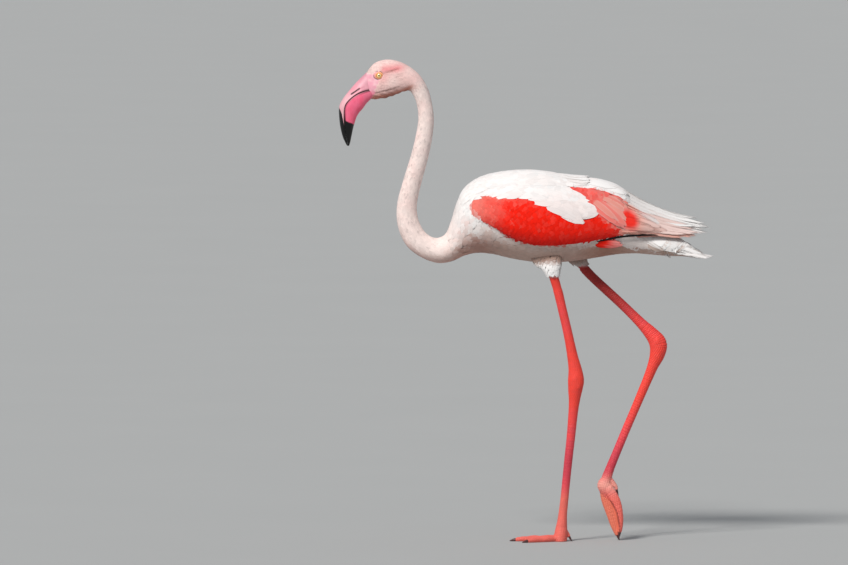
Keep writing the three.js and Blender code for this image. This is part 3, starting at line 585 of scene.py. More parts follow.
def body_tint(place, angle, grain, fine):
    """White back, cream neck and a dusky underside, whose colour is partly painted shade."""
    hues = chosen("plumage")
    low = np.degrees(np.abs(angle))
    throat = np.array(hues.throat)
    rear = step(25.5, 27.5, place)
    down = step(84, 145, low + np.degrees(0.2 - 0.12 * rear) * grain)
    down = np.maximum(down, 0.42 * rear * step(70, 88, low) * step(30, 28.6, place))
    breast = bump(18.6, 1.7, place) * bump(104, math.degrees(0.5), low)
    return painted(
        hues.cream,
        (hues.white, step(16.5, 20, place + 0.4 * grain)),
        # The underside darkens towards the bottom with a colour that is partly painted shade.
        (hues.belly_and_shade, 0.92 * down * step(14, 18.5, place)),
        (throat, 0.4 * step(105, 165, low) * step(13, 14.5, place) * step(20.5, 18, place)),
        (hues.cheek, np.clip(0.12 + 0.3 * grain, 0, 0.5) * step(15, 12, place) * step(5, 6, place)),
        (throat, breast * np.clip(0.22 + 0.3 * grain + 0.6 * fine, 0, 0.6)),
        # Painted shade under the front of the body and in the vent before the tail.
        (throat * 0.6, 0.5 * bump(20, 1.4, place) * step(110, 135, low)),
        (throat * (0.55, 0.45, 0.3), 0.6 * bump(26.4, 1.1, place) * step(118, 135, low)),
    )


def markings(place, angle):
    """Colour of skin and coat at each place, as linear red, green and blue."""
    bare, hues = chosen("bare"), chosen("plumage")
    points = body_point(place, angle, 0.0)
    x, z = points[..., 0] / MM, points[..., 2] / MM
    grain = blotches(points, 0.016, 1)
    fine = blotches(points, 0.0065, 2)
    wing = wing_inside(place, angle, 1.0)
    lores = mixed(bare.lores, hues.cream, np.clip(0.12 + 0.5 * fine, 0, 0.45))
    lores = mixed(lores, bare.bill_rose, 0.65 * step(792, 782, z))
    tint = painted(
        body_tint(place, angle, grain, fine),
        (head_tint(x, z, place, angle, grain), step(6.2, 4.6, place)),
        (wing_tint(x, z, wing_share(place, angle), grain, fine), wing > 0.3),
        (hues.white, scapular_inside(place, angle, 1.0) * (wing < 0.3)),
        (lores, bare_share(x, z, place)),
    )
    on_neck = step(4.5, 6, place) * step(17, 15, place)
    # Random lighter and darker tone all over, and on the neck small dark dots of painted shade, as under
    # feather tips.
    speckle_and_shade = (0.035 + 0.075 * on_neck) * fine - 0.2 * on_neck * step(0.15, 0.5, blotches(points, 0.0032, 4))
    return tint * (1 + speckle_and_shade[..., None])


def leg_tint(points):
    """Red shank and ankle, pinker below, coral foot; painted shadow on the bent shank's top. The lifted foot
    has a pale ball and a painted-shade crease.
    """
    bare = chosen("bare")
    x, z = points[..., 0] / MM, points[..., 2] / MM
    grain = blotches(points, 0.011, 5)
    tint = painted(
        bare.leg_pink,
        (bare.leg_red, np.clip(step(150, 265, z) + 0.25 * grain, 0, 1)),
        (bare.leg_pink, np.clip(bump(395, 40, z) * (0.4 + 0.5 * grain), 0, 0.6)),
    )
    tint = tint * (1 - bump(135, 34, z)[..., None] * (0.2, 0.32, 0.16))
    tint = tint * (1 - 0.14 * step(436, 462, z)[..., None])
    hung = step(50, 60, x)
    lobe = hung * step(90, 80, z)
    from_crease = x - np.interp(z, [24.9, 48.5, 55.5, 68.6, 75.6, 84.3], [103.3, 99, 95.6, 88.4, 77.9, 70])
    tint = painted(
        tint,
        (bare.foot, step(104, 70, z)),
        # Painted shadow of the body over the top of the bent far shank.
        (bare.leg_painted_shadow, 0.75 * step(370, 430, z) * step(20, 26, x)),
        (bare.foot_ball, 0.8 * hung * bump(98, 14, z)),
        (bare.foot_web, 0.7 * lobe * step(1, -3, from_crease)),
        # Painted shade along the crease of the lifted web.
        (bare.foot_crease_shade, 0.75 * lobe * bump(0, 1.2, from_crease)),
    )
    return tint * (1 + 0.05 * grain[..., None])


# ---------- Meshes ----------


def attribute(mesh, name, values):
    """Stores numbers or vectors on the points of a mesh, or pairs on its corners."""
    values = np.ascontiguousarray(values, dtype=np.float32).ravel()
    number = values.size == len(mesh.vertices)
    kind, domain = ("FLOAT", "POINT") if number else ("FLOAT_VECTOR", "POINT")
    if not number and values.size != len(mesh.vertices) * 3:
        kind, domain = "FLOAT2", "CORNER"
    mesh.attributes.new(name, kind, domain).data.foreach_set("value" if number else "vector", values)


def corner_points(mesh):
    """The point of each corner of a mesh."""
    corners = np.zeros(len(mesh.loops), np.int32)
    mesh.loops.foreach_get("vertex_index", corners)
    return corners


def mesh_of(name, points, faces):
    """A smooth mesh from points in metres."""
    mesh = bpy.data.meshes.new(name)
    mesh.from_pydata(points.reshape(-1, 3).tolist(), [], faces)
    mesh.shade_smooth()
    return mesh


def object_of(name, mesh):
    made = bpy.data.objects.new(name, mesh)
    bpy.context.scene.collection.objects.link(made)
    return made


def drop(*made):
    """Removes scratch objects with their meshes."""
    for scratch in made:
        mesh = scratch.data
        bpy.data.objects.remove(scratch)
        bpy.data.meshes.remove(mesh)


def finished(made):
    """The plain mesh that an object's modifiers give."""
    graph = bpy.context.evaluated_depsgraph_get()
    given = made.evaluated_get(graph)
    return bpy.data.meshes.new_from_object(given, preserve_all_data_layers=True, depsgraph=graph)


def grid_faces(rows, columns, around=False, ring=False):
    """Quads of a grid, which may close on itself around each row and from the last row to the first."""
    faces = []
    for row in range(rows if ring else rows - 1):
        here, there = row * columns, (row + 1) % rows * columns
        for column in range(columns if around else columns - 1):
            after = (column + 1) % columns
            faces.append((here + column, there + column, there + after, here + after))
    return faces


def tube(rings):
    """Tube through an array of rings, sides and coordinates, with a fan over each end."""
    count, sides = rings.shape[:2]
    faces = grid_faces(count, sides, True)
    first = count * sides
    last = first - sides
    for side in range(sides):
        other = (side + 1) % sides
        faces += [(first, side, other), (first + 1, last + other, last + side)]
    ends = np.stack([rings[0].mean(0), rings[-1].mean(0)])
    return np.concatenate([rings.reshape(-1, 3), ends]), faces


def joined(parts):
    """Points and faces of several parts as one."""
    faces = []
    start = 0
    for points, part_faces in parts:
        faces += [tuple(corner + start for corner in face) for face in part_faces]
        start += len(points)
    return np.concatenate([points for points, _ in parts]), faces


def turned_out(mesh):
    """Turns every face of a mesh of closed shells outwards."""
    work = bmesh.new()
    work.from_mesh(mesh)
    bmesh.ops.recalc_face_normals(work, faces=work.faces)
    work.to_mesh(mesh)
    work.free()
    return mesh


def own(made, replaced, material=None):
    """A finished piece rides on the bird, stands for its nodes and takes its finish."""
    if material is not None:
        made.data.materials.clear()
        made.data.materials.append(material)
    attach(made, BODY)
    if replaced:
        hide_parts(*replaced)
    return made


# ---------- Shader and geometry nodes ----------


class Num:
    """A number in a node tree, so that sums on sockets read as plain maths."""

    def __init__(self, nodes, socket):
        self.nodes = nodes
        self.socket = socket

    def maths(self, operation, *others):
        node = self.nodes.add("ShaderNodeMath", dict(enumerate([self, *others])), operation=operation)
        return Num(self.nodes, node.outputs[0])

    def __add__(self, other):
        return self.maths("ADD", other)

    def __sub__(self, other):
        return self.maths("SUBTRACT", other)

    def __rsub__(self, other):
        return (self * -1) + other

    def __mul__(self, other):
        return self.maths("MULTIPLY", other)

    def __pow__(self, other):
        return self.maths("POWER", other)

    __radd__ = __add__
    __rmul__ = __mul__

    def step(self, low, high):
        """Smooth step from 0 at low to 1 at high."""
        sockets = {"Value": self, "From Min": low, "From Max": high, "To Min": 0.0, "To Max": 1.0}
        node = self.nodes.add("ShaderNodeMapRange", sockets, interpolation_type="SMOOTHSTEP")
        return Num(self.nodes, node.outputs["Result"])


class Nodes:
    """Adds nodes to one tree, with the values or links of their sockets and with their settings."""

    def __init__(self, tree):
        self.tree = tree

    def add(self, kind, sockets=None, stops=(), **settings):
        node = self.tree.nodes.new(kind)
        for name, value in settings.items():
            setattr(node, name, value)
        for number, (position, value) in enumerate(stops):
            if number > 1:
                node.color_ramp.elements.new(position)
            node.color_ramp.elements[number].position = position
            node.color_ramp.elements[number].color = (*value, 1.0)
        for key, value in (sockets or {}).items():
            self.fill(node.inputs[key], value)
        return node

    def fill(self, socket, value):
        if isinstance(value, Num):
            value = value.socket
        if isinstance(value, bpy.types.NodeSocket):
            self.tree.links.new(value, socket)
        else:
            socket.default_value = value

    def mix(self, factor, first, second):
        """Colour between two colours."""
        return self.add("ShaderNodeMix", {0: factor, 6: first, 7: second}, data_type="RGBA").outputs[2]

    def vector(self, operation, *values):
        return self.add("ShaderNodeVectorMath", dict(enumerate(values)), operation=operation).outputs[0]

    def scaled(self, vector, number):
        sockets = {0: vector, "Scale": number}
        return self.add("ShaderNodeVectorMath", sockets, operation="SCALE").outputs[0]


class Finish(Nodes):
    """A material on Object coordinates and on the attributes of its piece."""

    def __init__(self, name, **sockets):
        self.material = bpy.data.materials.new(name)
        self.material.use_nodes = True
        super().__init__(self.material.node_tree)
        self.tree.nodes.clear()
        self.shader = self.add("ShaderNodeBsdfPrincipled", {"IOR": 1.45, **sockets})
        self.add("ShaderNodeOutputMaterial", {"Surface": self.shader.outputs["BSDF"]})
        self.place = self.add("ShaderNodeTexCoord").outputs["Object"]

    def stored(self, name):
        """Colour stored on the mesh."""
        return self.add("ShaderNodeAttribute", attribute_name=name).outputs["Color"]

    def number(self, name):
        """Number stored on the mesh."""
        return Num(self, self.add("ShaderNodeAttribute", attribute_name=name).outputs["Fac"])

    def on_vane(self):
        """Where a point lies across and along its feather or scale."""
        parts = self.add("ShaderNodeSeparateXYZ", {0: self.stored("vane_uv")}).outputs
        return Num(self, parts[0]), Num(self, parts[1])

    def grain(self, scale, detail=3.0, roughness=0.55, place=None):
        """Noise from 0 to 1 with about so many blotches in a metre."""
        sockets = {"Vector": place or self.place, "Scale": scale, "Detail": detail, "Roughness": roughness}
        return Num(self, self.add("ShaderNodeTexNoise", sockets).outputs["Fac"])

    def made(self, tint, rough, relief=None, distance=0.0, strength=0.5):
        """The material with its colour, its roughness and a bump over a distance in metres."""
        self.fill(self.shader.inputs["Base Color"], tint)
        if rough is not None:
            self.fill(self.shader.inputs["Roughness"], rough)
        if relief is not None:
            sockets = {"Height": relief, "Distance": distance, "Strength": strength}
            self.fill(self.shader.inputs["Normal"], self.add("ShaderNodeBump", sockets).outputs["Normal"])
        return self.material


def feather_finish():
    """Soft vane: slanting barbs, a paler fringe and a little change from one to the next."""
    finish = Finish("feather", **{"Sheen Weight": 0.05, "Sheen Roughness": 0.6, "Specular IOR Level": 0.14})
    across, up = finish.on_vane()
    aside = (across - 0.5).maths("ABSOLUTE")
    barbs = ((up * 190 - aside * 130) + finish.grain(900) * 3).maths("SINE") * 0.5 + 0.5
    rim = (aside * 2).step(0.55, 1.0) * 0.7 + up.step(0.72, 1.0) * 0.6
    shaft = 1 - aside.step(0.0, 0.06)
    tint = finish.mix(rim.maths("MINIMUM", 1.0), finish.stored("tint"), finish.stored("fringe"))
    shade = finish.number("shade") * (0.93 + barbs * 0.07) * (0.86 + 0.14 * up.step(0.0, 0.5))
    tint = finish.scaled(tint, shade * (1 - shaft * 0.05))
    return finish.made(tint, 0.72 + barbs * 0.16, barbs * 0.6 + finish.grain(2600) * 0.4, 0.00012)


def skin_finish():
    """Bare skin that shines a little, and the matt down under the feathers."""
    finish = Finish("skin", **{"Specular IOR Level": 0.45})
    pores = finish.grain(1500, 4.0, 0.6)
    tint = finish.scaled(finish.stored("tint"), 0.9 + finish.grain(260, 5.0, 0.6) * 0.2)
    sockets = {"Vector": finish.place, "Scale": 900.0}
    cells = finish.add("ShaderNodeTexVoronoi", sockets, feature="DISTANCE_TO_EDGE")
    edges = Num(finish, cells.outputs["Distance"]).step(0.0, 0.12)
    rough = 0.9 - finish.number("bare") * 0.42 + pores * 0.1
    return finish.made(tint, rough, pores * 0.75 + edges * 0.25, 0.0002, 0.4)


def leg_scale_finish():
    """Smooth horny scales, paler at the crown of each, darker between them."""
    finish = Finish("leg scale", **{"Specular IOR Level": 0.5})
    across, up = finish.on_vane()
    from_middle = ((across - 0.5) ** 2 + (up - 0.5) ** 2) ** 0.5
    worn = finish.grain(700, 4.0, 0.6)
    tint = finish.scaled(finish.stored("tint"), finish.number("shade") * (1.14 - from_middle * 0.55))
    tint = finish.mix(worn.step(0.56, 0.8) * 0.35, tint, (*chosen("bare").scale_crown, 1.0))
    return finish.made(tint, 0.36 + worn * 0.2, worn, 0.0002)


def bill_finish():
    """Horn with faint growth lines, a little glossier on the black tip."""
    finish = Finish("bill", **{"Specular IOR Level": 0.5})
    streaks = finish.grain(420, 4.0, 0.6, finish.vector("MULTIPLY", finish.place, (1.0, 0.35, 0.35)))
    tint = finish.scaled(finish.stored("tint"), 0.86 + streaks * 0.28)
    rough = 0.34 + streaks * 0.18 - finish.number("black") * 0.08
    return finish.made(tint, rough, streaks * 0.6 + finish.grain(1600) * 0.4, 0.00025)


def eye_finish():
    """Wet eye: dark pupil, pale iris, dark rim."""
    hues = chosen("bare")
    finish = Finish("eye", **{"Roughness": 0.12, "Coat Weight": 1.0, "Coat Roughness": 0.02})
    radial = finish.number("radial") + (finish.grain(2400) - 0.5) * 0.04
    stops = [
        (0.0, (0.006, 0.004, 0.004)),
        (0.19, (0.008, 0.005, 0.005)),
        (0.23, hues.pupil_rim),
        (0.32, hues.iris),
        (0.62, hues.iris),
        (0.78, hues.iris_rim),
        (0.95, hues.iris_edge),
    ]
    return finish.made(finish.add("ShaderNodeValToRGB", {"Fac": radial}, stops).outputs["Color"], None)


def claw_finish():
    """Dark horn with paler, worn blotches."""
    hues = chosen("bare")
    finish = Finish("claw horn", **{"Specular IOR Level": 0.5})
    streaks = finish.grain(900, 4.0, 0.65)
    tint = finish.mix(streaks.step(0.4, 0.8), (*hues.claw, 1.0), (*hues.claw_worn, 1.0))
    return finish.made(tint, 0.34 + streaks * 0.25, streaks, 0.0002)


def floor_finish():
    """Plain matt floor."""
    finish = Finish("floor", **{"Specular IOR Level": 0.2})
    cloud = finish.grain(2.2, 4.0, 0.6)
    return finish.made(finish.scaled((*chosen("stage").floor,), 0.98 + cloud * 0.04), 0.86 + cloud * 0.08)


# ---------- The coat: vanes laid over the skin by Geometry Nodes ----------

PATCH = 0.003  # side of a feather's patch in the OFBake map
BODY_UNWRAP = 0.78  # share of the OFBake map that the body takes, the rest being for the legs


def vane(name, rows, columns, tip_width=0.5, rag=0.0, rise=(0.35, 0.82, 1.0, 0.985)):
    """A closed feather one unit long and wide. "ramp" is its rise from root to tip, "level" its crown."""
    up, side = np.meshgrid(np.linspace(0, 1, rows + 1), np.linspace(-1, 1, columns + 1), indexing="ij")
    width = np.interp(up, [0, 0.2, 0.5, 0.72, 0.87, 1], [0.3, 0.8, 1, 0.96, 0.78, tip_width])
    x = side * width / 2
    y = up - 0.1 * up**4 * side**2
    y[-1, 1:-1:2] -= rag
    x[1:-1, 0] *= 1 - rag * np.tile([0.5, -0.5], rows)[: rows - 1]
    corner = np.arange(up.size).reshape(up.shape).tolist()
    faces = []
    for near, far in zip(corner, corner[1:]):
        faces += [(near[k], near[k + 1], far[k + 1], far[k]) for k in range(columns)]
        faces.append((near[0], far[0], far[-1], near[-1]))
    faces += [tuple(corner[0][::-1]), tuple(corner[-1])]
    ramp = np.interp(up, [0, 0.12, 0.4, 0.8, 1], [-0.08, *rise])
    level = (1 - side**2) * (1 - 0.5 * up) * (1 - up**6)
    uv = np.stack([(side * width + 1) / 2, up], -1)
    return template(name, np.stack([x, y, 0 * x], -1), faces, ramp, level, uv)


def plate(name, sides=6):
    """A domed six-sided scale one unit long and wide, closed underneath."""
    turn = np.arange(sides) / sides * 2 * math.pi + math.pi / 6
    ring = np.stack([np.cos(turn), np.sin(turn)], -1)
    flat = np.concatenate([ring * 0.53, ring * 0.4, [[0, 0]]])
    points = np.concatenate([flat, np.zeros((len(flat), 1))], -1)
    faces = []
    for side in range(sides):
        other = (side + 1) % sides
        faces += [(side, other, sides + other, sides + side), (sides + side, sides + other, 2 * sides)]
    faces.append(tuple(range(sides - 1, -1, -1)))
    level = np.concatenate([np.zeros(sides), np.ones(sides), [1.25]])
    return template(name, points, faces, flat[:, 1] * 0.4, level, flat + 0.5)


def template(name, points, faces, ramp, level, uv):
    """A feather or scale with what the tree needs to know of each of its points."""
    mesh = mesh_of(name, points, faces)
    attribute(mesh, "ramp", ramp)
    attribute(mesh, "level", level)
    attribute(mesh, "vane_uv", uv.reshape(-1, 2)[corner_points(mesh)])
    flat = np.asarray(level).ravel() < 1e-6
    edges = np.zeros(len(mesh.edges) * 2, np.int32)
    mesh.edges.foreach_get("vertices", edges)
    sharp = mesh.attributes.new("sharp_edge", "BOOLEAN", "EDGE")
    sharp.data.foreach_set("value", flat[edges].reshape(-1, 2).all(1))
    return object_of(name, mesh)


KINDS = {
    "Ground": "Object",
    "Vanes": "Collection",
    "Region": "String",
    "Spacing": "Float",
    "Width": "Float",
    "Thickness": "Float",
    "Lift": "Float",
    "Stray": "Float",
    "Kinds": "Int",
    "Seed": "Int",
    "Material": "Material",
}


def coat_tree(scattered):
    """Lays feathers over a ground that stores outward, lie, reach, depth, tint and fringe.

    Scattered feathers keep a least spacing over a region of the ground. Laid ones stand on the points
    of the tree's own object. Width is a share of the length, Lift a share of the coat's depth.
    """
    tree = bpy.data.node_groups.new("Scatter feathers" if scattered else "Lay feathers", "GeometryNodeTree")
    tree.interface.new_socket(name="Geometry", in_out="INPUT", socket_type="NodeSocketGeometry")
    tree.interface.new_socket(name="Geometry", in_out="OUTPUT", socket_type="NodeSocketGeometry")
    for name, kind in KINDS.items():
        tree.interface.new_socket(name=name, in_out="INPUT", socket_type=f"NodeSocket{kind}")
    nodes = Nodes(tree)
    given = nodes.add("NodeGroupInput").outputs

    def number(name):
        return Num(nodes, given[name])

    def named(name, kind="FLOAT_VECTOR"):
        node = nodes.add("GeometryNodeInputNamedAttribute", {"Name": name}, data_type=kind)
        return node.outputs["Attribute"]

    def named_number(name):
        return Num(nodes, named(name, "FLOAT"))

    def chance(low, high, salt):
        sockets = {2: low, 3: high, "Seed": number("Seed") + salt}
        return Num(nodes, nodes.add("FunctionNodeRandomValue", sockets, data_type="FLOAT").outputs[1])

    def stored(geometry, name, value, kind="FLOAT", domain="POINT"):
        sockets = {"Geometry": geometry, "Name": name, "Value": value}
        node = nodes.add("GeometryNodeStoreNamedAttribute", sockets, data_type=kind, domain=domain)
        return node.outputs["Geometry"]

    def beneath(value):
        sockets = {"Mesh": ground, "Value": value}
        node = nodes.add("GeometryNodeSampleNearestSurface", sockets, data_type="FLOAT_VECTOR")
        return node.outputs["Value"]

    ground = nodes.add("GeometryNodeObjectInfo", {"Object": given["Ground"]}).outputs["Geometry"]
    points = given["Geometry"]
    if scattered:
        sockets = {
            "Mesh": ground,
            "Distance Min": given["Spacing"],
            "Density Max": (number("Spacing") ** -2) * 2.6,
            "Density Factor": named(given["Region"], "FLOAT"),
            "Seed": given["Seed"],
        }
        scatter = nodes.add("GeometryNodeDistributePointsOnFaces", sockets, distribute_method="POISSON")
        points = scatter.outputs["Points"]

    ruffle = named_number("ruffle")
    points = stored(points, "shade", chance(0.94, 1.05, 1))
    points = stored(points, "lift", chance(0.96, 1.03, 2) * (ruffle * 0.4 + 1))
    outward = named("outward")
    astray = chance(-1.0, 1.0, 3) * number("Stray") * (ruffle * 2 + 1)
    sockets = {"Vector": named("lie"), "Axis": outward, "Angle": astray}
    lie = nodes.add("ShaderNodeVectorRotate", sockets, rotation_type="AXIS_ANGLE").outputs[0]
    sockets = {"Primary Axis": outward, "Secondary Axis": lie}
    turn = nodes.add("FunctionNodeAxesToRotation", sockets, primary_axis="Z", secondary_axis="Y")
    reach = named_number("reach") * chance(0.86, 1.14, 4)
    size = nodes.add("ShaderNodeCombineXYZ", {0: reach * number("Width"), 1: reach, 2: reach})
    sockets = {"Collection": given["Vanes"], "Separate Children": True, "Reset Children": True}
    vanes = nodes.add("GeometryNodeCollectionInfo", sockets, transform_space="ORIGINAL")
    sockets = {4: 0, 5: number("Kinds") - 1, "Seed": given["Seed"]}
    which = nodes.add("FunctionNodeRandomValue", sockets, data_type="INT")
    sockets = {
        "Points": points,
        "Instance": vanes.outputs[0],
        "Pick Instance": True,
        "Instance Index": which.outputs[2],
        "Rotation": turn.outputs[0],
        "Scale": size.outputs[0],
    }
    placed = nodes.add("GeometryNodeInstanceOnPoints", sockets).outputs["Instances"]
    coat = nodes.add("GeometryNodeRealizeInstances", {"Geometry": placed}).outputs["Geometry"]
    rise = named_number("depth") * named("lift", "FLOAT") * number("Lift") * named("ramp", "FLOAT")
    height = rise + named_number("level") * number("Thickness")
    skin = beneath(nodes.add("GeometryNodeInputPosition").outputs[0])
    place = nodes.vector("ADD", skin, nodes.scaled(beneath(outward), height))
    coat = nodes.add("GeometryNodeSetPosition", {"Geometry": coat, "Position": place}).outputs["Geometry"]
    patch = nodes.scaled(nodes.vector("SUBTRACT", named("vane_uv"), (0.5, 0.5, 0.0)), PATCH)
    coat = stored(coat, "OFBake", nodes.vector("ADD", named("root_uv"), patch), "FLOAT2", "CORNER")
    sockets = {"Geometry": coat, "Material": given["Material"]}
    coat = nodes.add("GeometryNodeSetMaterial", sockets).outputs["Geometry"]
    nodes.add("NodeGroupOutput", {"Geometry": coat})
    return tree


KEPT_ATTRIBUTES = {"position", "sharp_edge", "tint", "fringe", "shade", "vane_uv", "OFBake"}


def coat(name, vanes, width, thickness, lift, stray, carrier=None, **more):
    """One piece of the coat as a plain mesh. A carrier's points are given where the feathers lie in rows."""
    inputs = {
        "Ground": bpy.data.objects["body_ground"],
        "Vanes": vanes,
        "Width": width,
        "Thickness": thickness * MM,
        "Lift": lift,
        "Stray": stray,
        "Kinds": len(vanes.objects),
        "Seed": chosen("coat").seed,
        "Material": bpy.data.materials["feather"],
        **more,
    }
    tree = "Lay feathers" if carrier else "Scatter feathers"
    carrier = carrier or object_of(name, bpy.data.meshes.new(name))
    modifier = carrier.modifiers.new("Feathers", "NODES")
    modifier.node_group = bpy.data.node_groups[tree]
    for item in modifier.node_group.interface.items_tree:
        if item.name in inputs:
            modifier[item.identifier] = inputs[item.name]
    mesh = finished(carrier)
    drop(carrier)
    mesh.name = name
    mesh.materials.clear()
    mesh.materials.append(inputs["Material"])
    for stored in [stored.name for stored in mesh.attributes]:
        if stored not in KEPT_ATTRIBUTES and not stored.startswith("."):
            mesh.attributes.remove(mesh.attributes[stored])
    return object_of(name, mesh)


@contextmanager
def vane_set(name, *makers):
    """A hidden collection of feathers to choose from, for as long as it is used."""
    group = bpy.data.collections.new(name)
    for made in makers:
        bpy.context.scene.collection.objects.unlink(made)
        group.objects.link(made)
    yield group
    drop(*group.objects)
    bpy.data.collections.remove(group)


def vane_pair(name, rows, columns, *ends):
    """A set of two feathers of one kind with different tips."""
    makers = [vane(f"{name}_{letter}", rows, columns, *end) for letter, end in zip("ab", ends)]
    return vane_set(f"{name} vanes", *makers)


def coat_reach(place, angle):
    """Length of a feather in metres at each place: short on the face, long over the tail."""
    sizes = chosen("coat")
    head, neck, body = sizes.head_feather, sizes.neck_feather, sizes.body_feather
    lengths = [head * 0.55, head * 0.75, head, neck * 0.85, neck, neck * 1.5, body, body, body * 1.35]
    reach = np.interp(place, [0, 1.6, 4, 7, 13, 17, 20, 27, TAIL_END], lengths)
    covert = np.interp(np.clip(wing_share(place, angle), 0, 1), [0, 0.45, 0.8, 1.0], [1.0, 1.15, 1.45, 0.9])
    covert = covert * np.interp(place, [20, 24.5, 28], [0.85, 1.1, 2.2])
    return np.where(wing_inside(place, angle, 1.0) > 0.3, sizes.covert * covert, reach)


VECTORS = ("outward", "lie", "tint", "fringe", "root_uv")


def unwrapped(place, angle):
    """Place of a root on the unwrap of the body's skin."""
    u, v = np.broadcast_arrays((angle / (2 * math.pi) + 0.5) * BODY_UNWRAP, place / len(RIBS))
    return np.stack([u, v, 0 * u], -1)


def leg_unwrapped(word, around, down):
    """Place of a root on the unwrap of one leg, which has its own strip of the map."""
    u, v = np.broadcast_arrays(0.8 + 0.09 * around + (0.1 if word == "left" else 0), 0.99 * down)
    return np.stack([u, v, 0 * u], -1)


def ground(name, points, values, faces=()):
    """A skin shape that feathers are laid on, or the points they stand on, with what each place knows."""
    mesh = mesh_of(name, points, faces)
    for key, stored in values.items():
        attribute(mesh, key, np.broadcast_to(stored, points.shape if key in VECTORS else points.shape[:-1]))
    return object_of(name, mesh)


def coat_values(place, angle, slant=0.0):
    """What the feathers at each place and angle need. Slant turns them down from the line to the tail."""
    outward, lie, pace, girth = form_frame(place, angle)
    on_solid = body_point(place, angle, 0.0) / MM
    reach = coat_reach(place, angle)
    slant = np.sign(angle) * slant
    lie = lie * np.cos(slant)[..., None] + np.cross(outward, lie) * np.sin(slant)[..., None]
    shown = np.minimum(place + 0.7 * reach * np.cos(slant) / pace, TAIL_END)
    angle = angle + 0.7 * reach * np.sin(slant) / girth
    tint = markings(shown, angle)
    on_wing = wing_inside(shown, angle, 1.0)[..., None] > 0.3
    fleck = 0.5 * step(0.1, 0.5, blotches(form_point(place, angle), 0.012, 8)) * step(23.5, 20.5, shown)
    high = step(-8, 14, on_solid[..., 2] - rear_line(on_solid[..., 0]))
    rimmed = mixed(tint, chosen("plumage").peach, fleck + step(25.2, 26.4, shown) * (0.02 + 0.3 * high))
    breast = bump(18.2, 1.6, place) * step(50, 85, np.degrees(np.abs(angle)))
    return {
        "outward": outward,
        "lie": lie,
        "tint": tint,
        "fringe": np.where(on_wing, rimmed, np.minimum(tint * 1.03, 1.0)),
        "reach": reach,
        "depth": coat_depth(place, on_solid[..., 0], on_solid[..., 2]) * MM,
        "ruffle": 0.5 * breast + 0.25 * step(26, 29, place),
    }


def body_ground(columns=120):
    """Ground of head, neck, trunk and wings, open along the underside's midline so that its unwrap isn't
    torn.
    """
    place, angle = np.meshgrid(ring_places(), np.linspace(-math.pi, math.pi, columns + 1), indexing="ij")
    on_solid = body_point(place, angle, 0.0) / MM
    x, z = on_solid[..., 0], on_solid[..., 2]
    on_wing = wing_inside(place, angle, 1.5) > 0.3
    covered = scapular_inside(place, angle, 45.0) > 0.9
    down = np.abs(angle) > math.radians(95)
    open_body = ~on_wing & ~covered & (place >= NECK_BASE)
    eye = np.hypot(x - EYE["x"], z - EYE["z"]) < EYE["radius"] + 0.9
    stored = {
        "on_head": (place < NAPE) & (bare_share(x, z, place) < 0.5) & ~eye,
        "on_neck": (place >= NAPE) & (place < NECK_BASE),
        "on_back": open_body & ~down,
        "on_underparts": open_body & down,
        "root_uv": unwrapped(place, angle),
        **coat_values(place, angle),
    }
    return ground("body_ground", form_point(place, angle), stored, grid_faces(*place.shape))


# ---------- Legs ----------

TUBE_SIDES = 20
LEG_VOXEL = 1.3
THIGH_COAT = 3.2  # depth of the feathers on the thigh


def stations_at(stations, steps):
    """Places, values and frames along a limb, in millimetres."""
    place = np.linspace(0, len(stations) - 1, (len(stations) - 1) * steps + 1)
    ahead = along(stations, np.minimum(place + 0.05, place[-1]))
    back = along(stations, np.maximum(place - 0.05, 0))
    run = unit(ahead[:, :3] - back[:, :3])
    fore = unit(np.cross(np.array([0.0, 1.0, 0.0]), run))
    return place, along(stations, place), run, fore, np.cross(run, fore)


def rings_round(stations, steps, turn, shrink):
    """Middles of the rings round a limb, made thinner by some millimetres, and the two ways out from them."""
    place, values, run, fore, aside = stations_at(stations, steps)
    radii = values[:, 3:5] - shrink
    ahead = fore[:, None] * (np.cos(turn) * radii[:, :1])[..., None]
    beside = aside[:, None] * (np.sin(turn) * radii[:, 1:])[..., None]
    return values[:, None, :3], ahead, beside, run[:, None], place[:, None]


def limb(stations, steps=5, shrink=0.0):
    """A closed tube through stations."""
    turn = np.arange(TUBE_SIDES) / TUBE_SIDES * 2 * math.pi
    middle, ahead, beside, _, _ = rings_round(stations, steps, turn, shrink)
    return tube((middle + ahead + beside) * MM)


def knob(centre, radii):
    """A bony knob as a small closed egg."""
    x, y, z = centre
    a, b, c = radii
    polar = np.linspace(0.15, math.pi - 0.15, 8)
    stations = [[x, y, z + c * math.cos(angle), a * math.sin(angle), b * math.sin(angle)] for angle in polar]
    return limb(stations, 1)


def flat_toe(name):
    """Stations of a toe lying flat on the floor, from the ball outwards."""
    spread, reach = FLAT_TOES[name]
    turn = math.radians(spread)
    stations = []
    for number, radius in enumerate(FLAT_TOE_RADII):
        out = reach * number / (len(FLAT_TOE_RADII) - 1)
        x, y = -out * math.cos(turn), out * math.sin(turn)
        stations.append([x, y, radius - TOE_SINK, radius, radius * 0.95])
    return stations


TOES = {"left": {name: flat_toe(name) for name in FLAT_TOES}, "right": HUNG_TOES}


